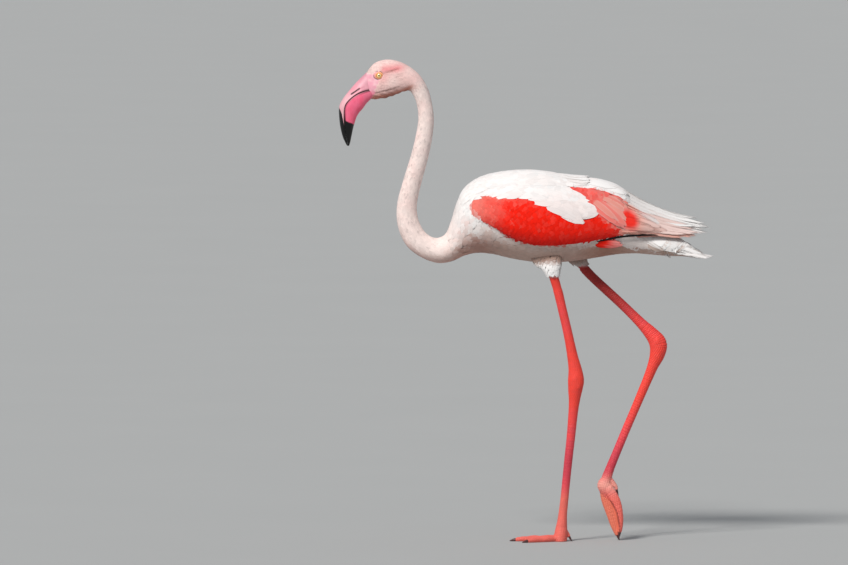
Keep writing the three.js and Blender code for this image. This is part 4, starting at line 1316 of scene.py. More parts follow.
def web(first, second, level=None):
    """The web between two toes: a ruled sheet with a hollow front edge, nearly closed where it hangs."""
    steps, thick = 12, 1.15
    hollow = 0.08 if level is None else 0.3
    across = np.linspace(0, 1, steps + 1)
    out = 0.06 + across[:, None] * (0.84 - hollow * np.sin(across * math.pi))
    near = along(first, out * (len(first) - 1))[..., :3]
    far = along(second, out * (len(second) - 1))[..., :3]
    grid = near + (far - near) * across[:, None]
    if level is not None:
        grid[..., 2] = level
    normal = unit(np.cross(np.gradient(grid, axis=0), np.gradient(grid, axis=1)))
    if level is None:
        ripple = np.sin(across * math.pi * 3) * 0.8 * across[:, None]
        grid = grid + normal * ripple[..., None]
    return slab((grid + normal * thick) * MM, (grid - normal * thick) * MM)


def slab(top, bottom):
    """Closed sheet between two grids of points."""
    rows, columns = top.shape[:2]
    count = rows * columns
    upper = np.arange(count).reshape(rows, columns)
    faces = []
    for row in range(rows - 1):
        for column in range(columns - 1):
            a = row * columns + column
            quad = (a, a + 1, a + columns + 1, a + columns)
            faces += [quad, tuple(corner + count for corner in quad[::-1])]
    rim = [*upper[0, :-1], *upper[:-1, -1], *upper[-1, :0:-1], *upper[:0:-1, 0]]
    for here, after in zip(rim, rim[1:] + rim[:1]):
        faces.append((int(here), int(here) + count, int(after) + count, int(after)))
    return np.concatenate([top.reshape(-1, 3), bottom.reshape(-1, 3)]), faces


def ankle_knobs(word):
    """The bony sides of the ankle and the tendon behind it."""
    x, y, z, _, aside = SHANKS[word][7]
    knobs = []
    for side in (-1, 1):
        knobs.append(knob((x - 1.5, y + side * (aside - 4.6), z + 3), (7.2, 5.4, 10.5)))
        knobs.append(knob((x + 3.5, y + side * (aside - 5.6), z - 9), (5.6, 4.6, 7.5)))
    return knobs


def leg_solid(word):
    """Thigh, shank, ankle, lower leg and webbed foot of one side, melted into one smooth mesh."""
    toes = TOES[word]
    level = 1.0 if word == "left" else None
    parts = [limb(THIGHS[word], 5, THIGH_COAT), limb(SHANKS[word], 6), *ankle_knobs(word)]
    parts += [limb(BALLS[word]), limb(HIND_TOES[word])]
    parts += [limb(toe, 6) for toe in toes.values()]
    parts += [web(toes["middle"], toes["inner"], level), web(toes["outer"], toes["middle"], level)]
    made = object_of("leg", turned_out(mesh_of("leg", *joined(parts))))
    melt = made.modifiers.new("Melt", "REMESH")
    melt.mode = "VOXEL"
    melt.voxel_size = LEG_VOXEL * MM
    melt.use_smooth_shade = True
    soften = made.modifiers.new("Soften", "SMOOTH")
    soften.factor = 0.5
    soften.iterations = 4
    mesh = finished(made)
    drop(made)
    points = np.zeros(len(mesh.vertices) * 3, np.float32)
    mesh.vertices.foreach_get("co", points)
    points = points.reshape(-1, 3)
    points[:, 2] = np.maximum(points[:, 2], 0)
    mesh.vertices.foreach_set("co", points.ravel())
    return mesh, points


# ---------- Skin ----------

SKIN_COLUMNS = 124
LID_ROWS = [
    (4.3, 3.2), (4.35, 4.2), (4.7, 4.6), (5.3, 4.5), (6.0, 4.0), (6.9, 3.3), (7.9, 1.8), (9.2, 0.0),
    (9.8, -1.8),
]


def eyelids(side):
    """Ring of lids round one eye: rows of (distance from the middle of the eye, height over it)."""
    turn = np.arange(56) / 56 * 2 * math.pi
    rings = []
    for row, (out, height) in enumerate(LID_ROWS):
        oval = out * (1 + 0.07 * np.cos(2 * turn) - 0.02 * np.sin(turn))
        wrinkle = 0.13 * np.sin(turn * 17 + row) * bump(4.5, 2.4, row)
        x = EYE["x"] + oval * np.cos(turn)
        z = EYE["z"] + oval * np.sin(turn) * (0.95 if row < 5 else 1.0)
        y = side * (EYE["out"] + height + wrinkle + (1.0 * np.cos(turn) if row > 4 else 0))
        rings.append(np.stack([x, y, z], -1) * MM)
    return np.concatenate(rings), grid_faces(len(rings), len(turn), True, True)


def skin_part(name, points, faces, tint, bare):
    """One closed part of the skin with its colours."""
    mesh = turned_out(mesh_of(name, points, faces))
    attribute(mesh, "tint", tint)
    attribute(mesh, "bare", bare)
    return object_of(name, mesh)


def with_ends(values):
    """Values of the rings of a tube, and of the middles of its two ends."""
    return np.concatenate([values, values[[0, -1]]])


def body_skin():
    """Head, neck and trunk as one closed loft."""
    turn = np.arange(SKIN_COLUMNS) / SKIN_COLUMNS * 2 * math.pi - math.pi
    place, angle = np.meshgrid(ring_places(), turn, indexing="ij")
    on_solid = body_point(place, angle, 0.0) / MM
    bare = bare_share(on_solid[..., 0], on_solid[..., 2], place).ravel()
    tint = markings(place, angle).reshape(-1, 3)
    return skin_part("body_skin", *tube(form_point(place, angle)), with_ends(tint), with_ends(bare))


def united(first, *others):
    """One closed mesh from several that pass through each other."""
    for other in others:
        join = first.modifiers.new("Join", "BOOLEAN")
        join.operation = "UNION"
        join.solver = "MANIFOLD"
        join.object = other
    mesh = finished(first)
    drop(first, *others)
    return mesh


# ---------- Bill, eyes and claws ----------

BILL_ROWS = 190
BILL_ARCH = 44
BILL_LIFT = 0.1  # least height of a half over its cutting edge
CLAW_STEPS = ((-1.5, 0.84), (0.45, 0.8), (4.5, 0.62), (10, 0.16))  # reach past the toe, share of its radius
NOSTRIL = ((-352.5, 793.5), (-367.0, 784.3))  # ends of the slit (x, z)
UPPER_BLACK = ((-387.5, 756.0), (-380.0, 739.5))  # edge of the black, from the culmen to the gape
LOWER_BLACK = ((-376.5, 738.0), (-360.5, 730.5))


def from_segment(x, z, ends):
    """Distance of each point from a straight line between two ends, and how far along it lies."""
    (x0, z0), (x1, z1) = ends
    run = np.array([x1 - x0, z1 - z0])
    share = np.clip(((x - x0) * run[0] + (z - z0) * run[1]) / (run @ run), 0, 1)
    return np.hypot(x - x0 - share * run[0], z - z0 - share * run[1]), share


def bill_half(upper):
    """One half of the bill: an arch over its cutting edges, with nostril, gape line and black tip."""
    hues = chosen("bare")
    place = np.linspace(-0.12, len(BILL_RIBS) - 1, BILL_ROWS)[:, None]
    turn = np.linspace(0, math.pi, BILL_ARCH + 1)[None, :]
    culmen_x, culmen_z, edge_x, edge_z, keel_x, keel_z, half = np.moveaxis(along(BILL_RIBS, place), -1, 0)
    crest_x, crest_z = (culmen_x, culmen_z) if upper else (keel_x, keel_z)
    from_lip = np.minimum(turn, math.pi - turn)
    arch_length = np.hypot(crest_x - edge_x, crest_z - edge_z)
    rise = np.sin(turn) ** (1.15 if upper else 0.8)
    rise = (rise * (arch_length - BILL_LIFT) + BILL_LIFT) / arch_length
    x = edge_x + (crest_x - edge_x) * rise
    z = edge_z + (crest_z - edge_z) * rise
    groove = 0.45 * bump(0.34, 0.05, from_lip) * step(0.3, 1.2, place) * step(6, 4.5, place) if upper else 0.0
    y = np.cos(turn) * (half - 0.55 * (1 - step(0.0, 0.16, from_lip)) - groove)
    open_slit = step(1.6, 0.4, from_segment(x, z, NOSTRIL)[0]) * upper * (np.abs(y) > 3)
    y = y - np.sign(y) * 1.7 * open_slit
    points = np.stack([x, y, z], -1) * MM
    grain = blotches(points, 0.009, 11)
    fine = blotches(points, 0.003, 12)
    from_edge = from_lip * np.maximum(half, arch_length) * 0.8
    (x_start, z_start), (x_end, z_end) = UPPER_BLACK if upper else LOWER_BLACK
    border = (z_end - z_start) / (x_end - x_start) * (x - x_start) + z_start
    if upper:
        border = border - 13 * np.exp(-((from_edge / 3.2) ** 2)) + 3
        base, main = np.array(hues.lores) * 0.72, hues.bill_pale
        layers = [(hues.bill_white, np.clip(0.75 * step(1.5, 3.4, place) + 0.3 * grain, 0, 1))]
    else:
        base, main = mixed(hues.lores, hues.bill_rose, 0.65) * 0.8, hues.bill_rose
        deep = np.clip(0.5 * bump(math.pi / 2, 0.9, turn) + 0.35 * grain, 0, 0.8)
        layers = [(hues.bill_deep, deep), (hues.bill_rose, 0.4 * step(1.2, 0.2, place))]
    gape = step(1.7, 0.9, from_edge) * step(0.15, 0.5, place)
    black = step(1.3, -1.3, z - border + 1.4 * fine)
    tint = painted(
        main,
        (base, step(1.7, -0.1, place + 0.3 * grain)),
        *layers,
        (hues.gape, np.clip(np.maximum(gape, open_slit * 1.3), 0, 1)),
        (hues.bill_black, black),
    )
    name = "bill_upper_horn" if upper else "bill_lower_horn"
    mesh = turned_out(mesh_of(name, *tube(points)))
    attribute(mesh, "tint", with_ends(tint.reshape(-1, 3)))
    attribute(mesh, "black", with_ends(black.ravel()))
    return object_of(name, mesh)


def eyeball(word, side):
    """A ball with fine rings round its outward axis, whose stored radius carries pupil and iris."""
    polar = np.concatenate([np.linspace(0.02, 1.1, 34), np.linspace(1.15, math.pi - 0.05, 18)])[:, None]
    turn = np.arange(56)[None, :] / 56 * 2 * math.pi
    radius = EYE["radius"] - 0.05
    x = EYE["x"] + radius * np.sin(polar) * np.cos(turn)
    z = EYE["z"] + radius * np.sin(polar) * np.sin(turn)
    y = side * (EYE["out"] + radius * (1 + 0.05 * bump(0, 0.5, polar)) * np.cos(polar)) + 0 * turn
    mesh = turned_out(mesh_of(f"eyeball_{word}", *tube(np.stack([x, y, z], -1) * MM)))
    radial = np.repeat(np.sin(np.minimum(polar, math.pi / 2)) * radius / 5.0, turn.size, 1).ravel()
    attribute(mesh, "radial", np.concatenate([np.clip(radial, 0, 1), [0, 1]]))
    return object_of(f"eyeball_{word}", mesh)


def claw(toe):
    """A curved claw that carries on from the end of a toe, flat underneath."""
    tip, radius = np.array(toe[-1][:3], float), toe[-1][3]
    run = unit(tip - np.array(toe[-2][:3], float))
    droop = 0.25 if run[2] > -0.5 else 0.0
    stations = []
    for number, (reach, share) in enumerate(CLAW_STEPS):
        place = tip + run * reach
        place[2] -= droop * max(number - 1, 0) ** 2
        stations.append([*place, radius * share, radius * share])
    points, faces = limb(stations, 5)
    points[:, 2] = np.maximum(points[:, 2], 0)
    return points, faces


# ---------- Long plumes ----------


def sliver(root, middle, tip, wide, up, width, thick):
    """A fine pointed barb with three sides."""
    points = []
    for centre, share in ((root, 1.0), (middle, 0.75)):
        points.append(centre - wide * width / 2 * share)
        points.append(centre + wide * width / 2 * share)
        points.append(centre + up * thick * share)
    points.append(tip)
    faces = [(0, 1, 4, 3), (1, 2, 5, 4), (2, 0, 3, 5), (3, 4, 6), (4, 5, 6), (5, 3, 6), (2, 1, 0)]
    return np.array(points), faces


def plume(root, bow, tip, width, flat, chance, taper=0.5, barbs=46, loose=1.0, quill=0.9):
    """A long feather along a bow: a thin vane, and barbs that stand free at its edges and tip."""
    root, bow, tip, flat = (np.array(point, float) for point in (root, bow, tip, flat))
    chord = float(np.linalg.norm(tip - root))

    def centre(place):
        place = np.asarray(place, float)[..., None]
        return (1 - place) ** 2 * root + 2 * place * (1 - place) * bow + place**2 * tip

    def frame_at(place):
        place = np.asarray(place, float)[..., None]
        run = unit(2 * (1 - place) * (bow - root) + 2 * place * (tip - bow))
        wide = unit(flat - run * np.sum(run * flat, -1, keepdims=True))
        return run, wide, np.cross(run, wide)

    def half(place):
        ends = np.sqrt(np.maximum(0, 1 - np.maximum(0, (place - taper) / (1 - taper)) ** 2))
        return width / 2 * np.maximum(0.03, ends) * np.minimum(1, 0.35 + place * 5)

    share = np.linspace(0, 1, 23)
    _, wide, up = frame_at(share)
    side = np.linspace(-1, 1, 7)[None, :]
    ragged = 1 + chance.uniform(-0.1, 0.08, (len(share), 2))
    reach = half(share)[:, None] * 0.8 * np.where(side < 0, ragged[:, :1], ragged[:, 1:])
    across = centre(share)[:, None] + wide[:, None] * (side * reach)[..., None]
    curl = -up[:, None] * (side**2 * reach * 0.16)[..., None]
    thick = (0.25 + quill * np.exp(-((side / 0.16) ** 2)) * (1 - 0.75 * share[:, None]))[..., None]
    thick = thick * (np.abs(side) < 1)[..., None]
    top = (across + curl + up[:, None] * thick / 2) * MM
    bottom = (across + curl - up[:, None] * (thick / 2 + 0.05)) * MM
    uv = np.stack(np.broadcast_arrays((side + 1) / 2, share[:, None]), -1).reshape(-1, 2)
    parts = [slab(top, bottom)]
    uvs = [uv, uv]
    for place in np.linspace(0.1, 0.985, barbs):
        run, wide, up = frame_at(place)
        for way in (-1, 1):
            reach = half(place)
            start = centre(place) + wide * way * reach * 0.5
            out = reach * (0.92 + 0.16 * chance.uniform()) * loose + 0.6
            sweep = (0.045 + 0.04 * place * chance.uniform(0.5, 1.4)) * loose
            ahead = min(1.03, place + max(sweep, out * chance.uniform(1.0, 1.5) / chord))
            end = centre(ahead) + wide * way * out + up * (chance.uniform(-0.6, 0.3) * loose - 0.13 * reach)
            start = start - up * 0.03 * reach
            between = (start + end) / 2 + wide * way * reach * 0.12 + up * 0.02 * reach
            parts.append(sliver(start * MM, between * MM, end * MM, run, up, 1.7 * MM, 0.22 * MM))
            uvs.append(np.tile([[0.5 + way * 0.42, place]], (7, 1)))
    return *joined(parts), np.concatenate(uvs)


def plume_object(name, plumes, spotted=False):
    """Joins plumes: each is (points, faces and uv), its tint at root and tip, and its place on the unwrap."""
    points, faces = joined([shape[:2] for shape, *_ in plumes])
    mesh = turned_out(mesh_of(name, points, faces))
    uv = np.concatenate([shape[2] for shape, *_ in plumes])
    counts = [len(shape[0]) for shape, *_ in plumes]
    near, far, root = (np.repeat([part[k] for part in plumes], counts, 0) for k in (1, 2, 3))
    tint = mixed(near, far, step(0.25, 0.85, uv[:, 1]))
    if spotted:
        tint = spot_tint(tint, points[:, 0] / MM, points[:, 2] / MM, blotches(points, 0.0065, 2))
    corners = corner_points(mesh)
    shades = np.linspace(0.95, 1.03, len(plumes))[np.arange(len(plumes)) * 7 % len(plumes)]
    attribute(mesh, "tint", tint)
    attribute(mesh, "fringe", np.minimum(tint * 1.04, 1))
    attribute(mesh, "shade", np.repeat(shades, counts))
    attribute(mesh, "vane_uv", uv[corners])
    attribute(mesh, "OFBake", (root[:, :2] + (uv - 0.5) * PATCH)[corners])
    return object_of(name, mesh)


def mirrored(points, side):
    """Points (x, distance from the midline, z) on one side of the bird."""
    return [np.array([x, side * aside, z], float) for x, aside, z in points]


def tertial_vanes(side, chance):
    """Each long plume as five vanes side by side, whiter towards the top and darkened a little as painted
    shade.
    """
    hues = chosen("plumage")
    plumes = []
    for row, (root, bow, tip, width, lean) in enumerate(TERTIALS):
        # Both tints are darkened (by 0.84 at the root, 0.92 at the tip) as painted shade.
        near = mixed(hues.white, hues.peach, [0.02, 0.05, 0.22, 0.55, 0.85, 1.0][row]) * 0.84
        far = mixed(hues.white, hues.peach, [0.0, 0.0, 0.08, 0.5, 0.95, 1.0][row]) * 0.92
        for offset, reach in ((-0.42, 0.86), (-0.2, 0.95), (0.0, 1.0), (0.22, 0.95), (0.42, 0.88)):
            shift = np.array([0, -side * lean, 1.0]) * width * offset
            start, middle, end = mirrored((root, bow, tip), side)
            start = start + shift
            end = start + (end + shift * 0.6 - start) * reach * chance.uniform(0.97, 1.0)
            shape = plume(start, middle + shift, end, width * 0.36, [0, lean, -side], chance, 0.22, 34)
            where = unwrapped(26.5 + reach, side * (0.12 + 0.2 * row + 0.2 * offset))
            plumes.append((shape, near, far, where))
    return plumes


def covering_plumes(side, chance):
    """Shorter plumes in three layers over the roots of the long ones."""
    hues = chosen("plumage")
    plumes = []
    for layer, place in enumerate((26.85, 27.2, 27.55)):
        for number, degrees in enumerate(np.arange(30 + 3 * layer, 100 - 3 * layer, 7)):
            angle = side * np.radians(degrees)
            start = body_point(place, angle, shell_height(place, angle, 3.0) - 3.0 + 0.5 * layer) / MM
            reach = 62 + 10 * (number % 3) - 12 * step(60, 96, degrees)
            lean = np.interp(degrees, [30, 60, 98], [-0.5, -0.34, 0.0])
            end = start + np.array([0.92, -side * 0.16, lean]) * reach
            end[2] = max(end[2], 541)
            bow = (start + end) / 2 + np.array([0, side * 4.0, 2.5])
            near = mixed(hues.peach, hues.rear_coral, 0.25 + 0.3 * chance.uniform())
            far = mixed(hues.white, hues.peach, 0.15 + 0.6 * step(42, 75, degrees)) * 0.92
            outward, lie, _, _ = form_frame(place, angle)
            shape = plume(start, bow, end, 17, np.cross(outward, lie), chance, 0.4, 26, 0.8)
            plumes.append((shape, near, far, unwrapped(place, angle)))
    return plumes


def spot_plume(side, chance):
    """The broad plume that carries the round red spot."""
    hues = chosen("plumage")
    outward = form_frame(27.1, side * 1.0)[0]
    start = form_point(26.4, side * 0.6) / MM
    end = form_point(27.9, side * 1.4) / MM + outward * 6
    bow = (start + end) / 2 + outward * 24
    shape = plume(start, bow, end, 27, np.cross(outward, unit(end - start)), chance, 0.4, 36, 0.5, 0.4)
    return shape, mixed(hues.peach, hues.rear_coral, 0.6), hues.peach, unwrapped(26.4, side * 0.6)


def small_red_plumes(side, chance):
    """The small red feathers under the wing's rear."""
    hues = chosen("plumage")
    plumes = []
    for place, degrees, tip_place, tip_degrees, low, high, width in SMALL_RED:
        angle = side * math.radians(degrees)
        start = body_point(place, angle, low) / MM
        end = body_point(tip_place, side * math.radians(tip_degrees), high) / MM
        outward, lie, _, _ = form_frame(place, angle)
        bow = (start + end) / 2 + outward * 2.4
        shape = plume(start, bow, end, width, np.cross(outward, lie), chance, 0.6, 24, 0.5)
        plumes.append((shape, hues.red, mixed(hues.red, hues.cheek, 0.5), unwrapped(place, angle)))
    return plumes


def tail_vanes(side, chance):
    """The tail feathers of one side, tilted like a roof."""
    hues = chosen("plumage")
    tips = np.array(TAIL_TIPS, float)
    root_x, root_z = TAIL_ROOT
    plumes = []
    for number, aside in enumerate(np.linspace(3, 23, 6)):
        x, z = (np.interp(aside, tips[:, 0], tips[:, k]) for k in (1, 2))
        root = [root_x - 8, side * aside * 0.4, root_z - 0.5 * number]
        bow = [(root_x + x) / 2, side * aside * 0.8, (root_z + z) / 2 + 1]
        tip = [x - 1.2 * (number % 2), side * aside, z - 0.4 * number]
        roof = [0, 1, -side * (0.1 + 0.1 * number)]
        shape = plume(root, bow, tip, 15, roof, chance, 0.72, 40, 0.6)
        where = unwrapped(30.5, side * (0.1 + 0.5 * number))
        plumes.append((shape, hues.white, mixed(hues.white, hues.belly_and_shade, 0.08), where))
    return plumes


def loose_tail_coverts(side, chance):
    """Three rings of loose coverts round the tail's root, on one side."""
    hues = chosen("plumage")
    plumes = []
    for ring, place in enumerate((28.3, 29.4, 30.2)):
        for number in range(10):
            angle = (0.12 + number / 10 * math.pi) % math.pi
            start = form_point(place, side * angle) / MM
            outward, lie, _, _ = form_frame(place, side * angle)
            reach = chance.uniform(50, 62) - 4 * ring
            swell = np.array([0, side, 0.35]) * (0, 2, 4)[ring] * bump(1.2, 0.55, angle)
            start = start + swell * 0.6
            end = start + lie * reach + outward * (3.2 - 0.05 * reach) + swell * 0.3
            end[0] = min(end[0], 253)
            end[2] = np.clip(end[2], 506 - 0.3 * max(end[0] - 225, 0), 527 - 0.72 * max(end[0] - 212, 0))
            bow = (start + end) / 2 + outward * 3.4 + swell
            bow[2] = np.clip(bow[2], 506, 529 - 0.5 * max(bow[0] - 205, 0))
            shape = plume(start, bow, end, 17, np.cross(outward, lie), chance, 0.45, 24, 0.9, 0.5)
            # Underneath they take the underside colour, which is partly painted shade.
            tint = mixed(hues.white, hues.belly_and_shade, step(1.5, 2.3, angle))
            plumes.append((shape, tint, tint, unwrapped(place, side * angle)))
    return plumes


# ---------- Feathers laid by rows ----------


def laid_rows(name, rows, depth, tint, rim=None):
    """Carrier of feathers that run over the body, each row (root place, root angle, tip place, tip angle)."""
    place, angle, tip_place, tip_angle = np.array(rows).T
    run = form_point(tip_place, tip_angle) - form_point(place, angle)
    stored = {
        "outward": form_frame(place, angle)[0],
        "lie": unit(run),
        "tint": tint,
        "fringe": mixed(tint, chosen("plumage").white, rim) if rim else np.minimum(tint * 1.03, 1.0),
        "reach": np.linalg.norm(run, axis=-1),
        "depth": depth * MM,
        "ruffle": 0.0,
        "root_uv": unwrapped(place, angle),
    }
    return ground(name, form_point(place, angle), stored)


def scapular_limit(place):
    """Lowest angle of a scapular's shaft, so that its edge ends at the line of the table."""
    inset = 0.07 * step(21.5, 23.5, place) + 0.05 * step(22.5, 24.5, place)
    return math.radians(float(row_at(SCAPULAR_ROWS, place)[1])) - float(inset)


def scapular_rows(side):
    """White feathers over the upper wing, in rows from the shoulder to the round end of the lobe."""
    hues = chosen("plumage")
    full = chosen("coat").scapular / 0.041
    chance = np.random.default_rng(11)
    spread = 0.09
    rows = []
    for row, place in enumerate(np.arange(19.0, 25.3, 0.15)):
        limit = scapular_limit(max(place, 20))
        for angle in np.arange(0.03 + (row % 2) * spread / 2, limit + 0.02, spread):
            reach = full * (0.6 + 0.4 * step(20, 23, place)) * chance.uniform(0.95, 1.05)
            tip_place, tip_angle = place + reach, angle
            for _ in range(3):
                spans = np.degrees(tip_angle) + np.array([-5, 0, 4])
                edge = np.interp(spans, *LOBE_EDGE).min() - 0.05 * chance.uniform()
                tip_place = min(place + reach, edge)
                tip_angle = angle / limit * scapular_limit(tip_place)
            if tip_place - place > 0.6:
                rows.append([place + chance.uniform(-0.02, 0.02), side * angle, tip_place, side * tip_angle])
    tip_place, tip_angle = np.array(rows)[:, 2], np.abs(np.array(rows)[:, 3])
    tint = mixed(hues.white, hues.cream, 0.3 * chance.uniform(0, 1, len(rows)))
    tint = mixed(tint, hues.cheek, 0.2 * step(0.9, 1.35, tip_angle))
    raised = step(25, 25.5, tip_place) * step(26, 8, np.degrees(tip_angle))
    return laid_rows("scapular_rows", rows, 4.6 + 3.0 * raised, tint)


def rump_rows(side):
    """Long white feathers over the rump, with their tips in a step above the plumes."""
    hues = chosen("plumage")
    chance = np.random.default_rng(12)
    rows = []
    for row, place in enumerate(np.arange(23.2, 25.9, 0.22)):
        for angle in np.arange(0.04 + (row % 2) * 0.05, 0.8, 0.1):
            tip_place = min(place + chance.uniform(1.7, 2.1), 27.45 - 0.1 * chance.uniform())
            lowest = math.radians(float(np.interp(tip_place, *RUMP_EDGE)))
            if angle < min(lowest + 0.15, math.radians(float(np.interp(place, *RUMP_EDGE))) - 0.2):
                rows.append([place, side * angle, tip_place, side * min(angle, max(lowest - 0.19, 0.02))])
    tip_place = np.array(rows)[:, 2]
    tint = mixed(hues.white, hues.cream, 0.3 * chance.uniform(0, 1, len(rows)))
    low = step(0.2, 0.5, np.abs(np.array(rows)[:, 1]))
    return laid_rows("rump_rows", rows, (4.0 + 1.6 * step(26, 27.2, tip_place)) * (1 - 0.55 * low), tint)


def tail_covert_rows():
    """Soft white coverts that swell over the sides of the tail, browner below, partly as painted shade."""
    hues = chosen("plumage")
    chance = np.random.default_rng(15)
    rows = []
    for row, place in enumerate(np.arange(27.95, 30.3, 0.24)):
        for angle in np.arange(0.06 + (row % 2) * 0.09, 2.5, 0.18):
            for side in SIDES.values():
                tip_place = min(place + chance.uniform(1.2, 1.5), 31.15 - 0.6 * chance.uniform())
                rows.append([place, side * angle, tip_place, side * angle])
    tip_place, angle = np.array(rows)[:, 2], np.abs(np.array(rows)[:, 1])
    swell = 7.5 * bump(1.1, 0.62, angle) * step(28.8, 30, tip_place) * (1 - 0.7 * step(30.2, 31.2, tip_place))
    x, _, z = form_point(tip_place, angle).T / MM
    # The lower coverts turn brown, partly their own colour and partly painted shade.
    brown = step(5, -4, z - np.interp(x, [156, 226], [525, 512]) + chance.uniform(-2, 2, len(rows)))
    brown = brown * (0.35 + 0.65 * step(28.6, 29.8, tip_place))
    tint = mixed(hues.white, np.array(hues.belly_and_shade) * (0.85, 0.8, 0.72), brown)
    return laid_rows("tail_covert_rows", rows, 2.8 + swell, tint)


def covert_rows(side):
    """Coverts in staggered rows over one folded wing, slanting down towards its rear."""
    sizes = chosen("coat")
    chance = np.random.default_rng(13)
    pitch = sizes.covert_spacing / MM
    turn = pitch / EDGE_GIRTH * 0.92
    places, angles = [], []
    for row, place in enumerate(np.arange(WING_ROWS[0, 0], WING_ROWS[-1, 0], 0.85 * pitch / RIB_SPACING)):
        _, upper, lower, _ = row_at(WING_ROWS, place)
        for angle in np.arange(math.radians(upper) + row % 2 * turn / 2, math.radians(lower), turn):
            places.append(place + chance.uniform(-0.06, 0.06) * pitch / RIB_SPACING * 2)
            angles.append(side * (angle + chance.uniform(-0.08, 0.08) * turn))
    place, angle = np.array(places), np.array(angles)
    shown = (wing_inside(place, angle, 1.5) > 0.2) & (scapular_inside(place, angle, 16.0) < 0.9)
    place, angle = place[shown], angle[shown]
    slant = 0.12 + 0.55 * step(23.5, 26.5, place)
    stored = coat_values(place, angle, slant)
    stored["tint"] = stored["tint"] * chance.uniform(0.94, 1.06, (len(place), 1))
    return ground("covert_rows", form_point(place, angle), {**stored, "root_uv": unwrapped(place, angle)})


def rear_covert_rows(side):
    """Long coral coverts with pale rims, which sweep down behind the lobe to the wing's lower edge."""
    hues = chosen("plumage")
    chance = np.random.default_rng(14)
    rows, pink = [], []
    for layer in range(2):
        for number in range(6):
            share = (number + 0.5 * layer) / 5.5
            place = 25.35 + 0.65 * share - 0.12 * layer
            tip_place = 27.05 + 0.3 * share - 0.25 * layer + chance.uniform(-0.05, 0.05)
            angle = math.radians(54 - 18 * share)
            tip_angle = math.radians(116 - 4 * share - 9 * layer)
            rows.append([place, side * angle, tip_place, side * tip_angle])
            pink.append(0.05 + 0.3 * share + 0.35 * (number % 2))
    tint = mixed(hues.rear_coral, hues.peach, pink)
    return laid_rows("rear_covert_rows", rows, 6.2, tint, 0.28)


def scale_rows(word):
    """Rings of scales round the shank, ankle, lower leg and toes of one leg."""
    pitch = chosen("coat").scale_pitch / MM
    flat = -0.25 if word == "left" else -1.0
    limbs = [(SHANKS[word], 0.9 if word == "left" else 0.4, -0.2, -1.0), (BALLS[word], 0.6, 0.2, -0.2)]
    limbs += [(toe, 0.5, 0.15, flat) for toe in TOES[word].values()]
    limbs.append((HIND_TOES[word], 0.3, 0.1, -1.0))
    scales = []
    for stations, skip, stop, lowest in limbs:
        _, fine, run, fore, aside = stations_at(stations, 20)
        travelled = np.concatenate([[0], np.cumsum(np.linalg.norm(np.diff(fine[:, :3], axis=0), axis=1))])
        ends = np.interp([skip, len(stations) - 1 - stop], np.arange(len(fine)) / 20, travelled)
        for number, distance in enumerate(np.arange(ends[0], ends[1], pitch * 0.86)):
            at = min(int(np.searchsorted(travelled, distance)), len(fine) - 1)
            middle, (radius, side_radius) = fine[at, :3], fine[at, 3:]
            girth = math.pi * (radius + side_radius)
            around = max(6, round(girth / pitch))
            for turn in (np.arange(around) + number % 2 / 2) / around * 2 * math.pi:
                ahead, beside = fore[at] * math.cos(turn), aside[at] * math.sin(turn)
                normal = unit(ahead * side_radius + beside * radius)
                if normal[2] >= lowest:
                    root = middle + ahead * radius + beside * side_radius
                    scales.append((root, normal, run[at], girth / around * 1.12, turn / (2 * math.pi)))
    roots, outward, lie, reach, share = map(np.array, zip(*scales))
    points = roots * MM
    tint = leg_tint(points)
    stored = {
        "outward": outward,
        "lie": lie,
        "tint": tint,
        "fringe": tint,
        "reach": reach * MM,
        "depth": 0.5 * MM,
        "ruffle": 0.0,
        "root_uv": leg_unwrapped(word, share, points[:, 2] * 1.85),
    }
    return ground("scale_rows", points, stored)


def leg_ground(word):
    """The melted leg as a ground for its scales, and the same shape as a part of the skin."""
    mesh, points = leg_solid(word)
    normals = np.zeros(len(mesh.vertices) * 3, np.float32)
    mesh.vertex_normals.foreach_get("vector", normals)
    hock = THIGHS[word][-1][2]
    on_thigh = step(hock, hock + 11, points[:, 2] / MM)
    attribute(mesh, "outward", normals)
    attribute(mesh, "tint", mixed(leg_tint(points), chosen("plumage").white, on_thigh))
    attribute(mesh, "bare", 1 - on_thigh)
    return object_of(f"leg_ground_{word}", mesh)


def thigh_ground(word):
    """Ground of the feathers on one thigh, from the hip down to the bare shank."""
    hues = chosen("plumage")
    first = np.array(THIGHS[word][-1], float)
    below = first + (np.array(SHANKS[word][1], float) - np.array(SHANKS[word][0], float)) * 0.08
    below[3:] = [THIGH_COAT + 8.4, THIGH_COAT + 7.6]
    turn = np.linspace(0, 2 * math.pi, 33)
    stations = [*THIGHS[word], below.tolist()]
    middle, ahead, beside, run, place = rings_round(stations, 8, turn, THIGH_COAT)
    wave = ahead + beside
    points = (middle + wave) * MM
    near = word == "left"
    # Painted shade: the tops of the thighs under the body take a darkened underside colour, and the far thigh
    # stays mostly shaded.
    thigh_painted_shade = np.array(hues.belly_and_shade) * (0.64 if near else 0.55)
    tint = mixed(thigh_painted_shade, hues.white, step(501, 489, points[..., 2] / MM) * (1.0 if near else 0.3))
    stored = {
        "outward": unit(wave),
        "lie": run,
        "tint": tint,
        "fringe": np.minimum(tint * 1.03, 1),
        "reach": 11 * MM,
        "depth": THIGH_COAT * MM,
        "ruffle": 0.2,
        "on_thigh": points[..., 2] / MM > first[2] + 12,
        "root_uv": leg_unwrapped(word, turn / (2 * math.pi), 0.87 + 0.13 * (place / place[-1])),
    }
    faces = [face[::-1] for face in grid_faces(*points.shape[:2])]
    return ground(f"thigh_ground_{word}", points, stored, faces)


# ---------- Operators ----------

FLOOR_REACH = 90.0  # half the width of the floor, in metres


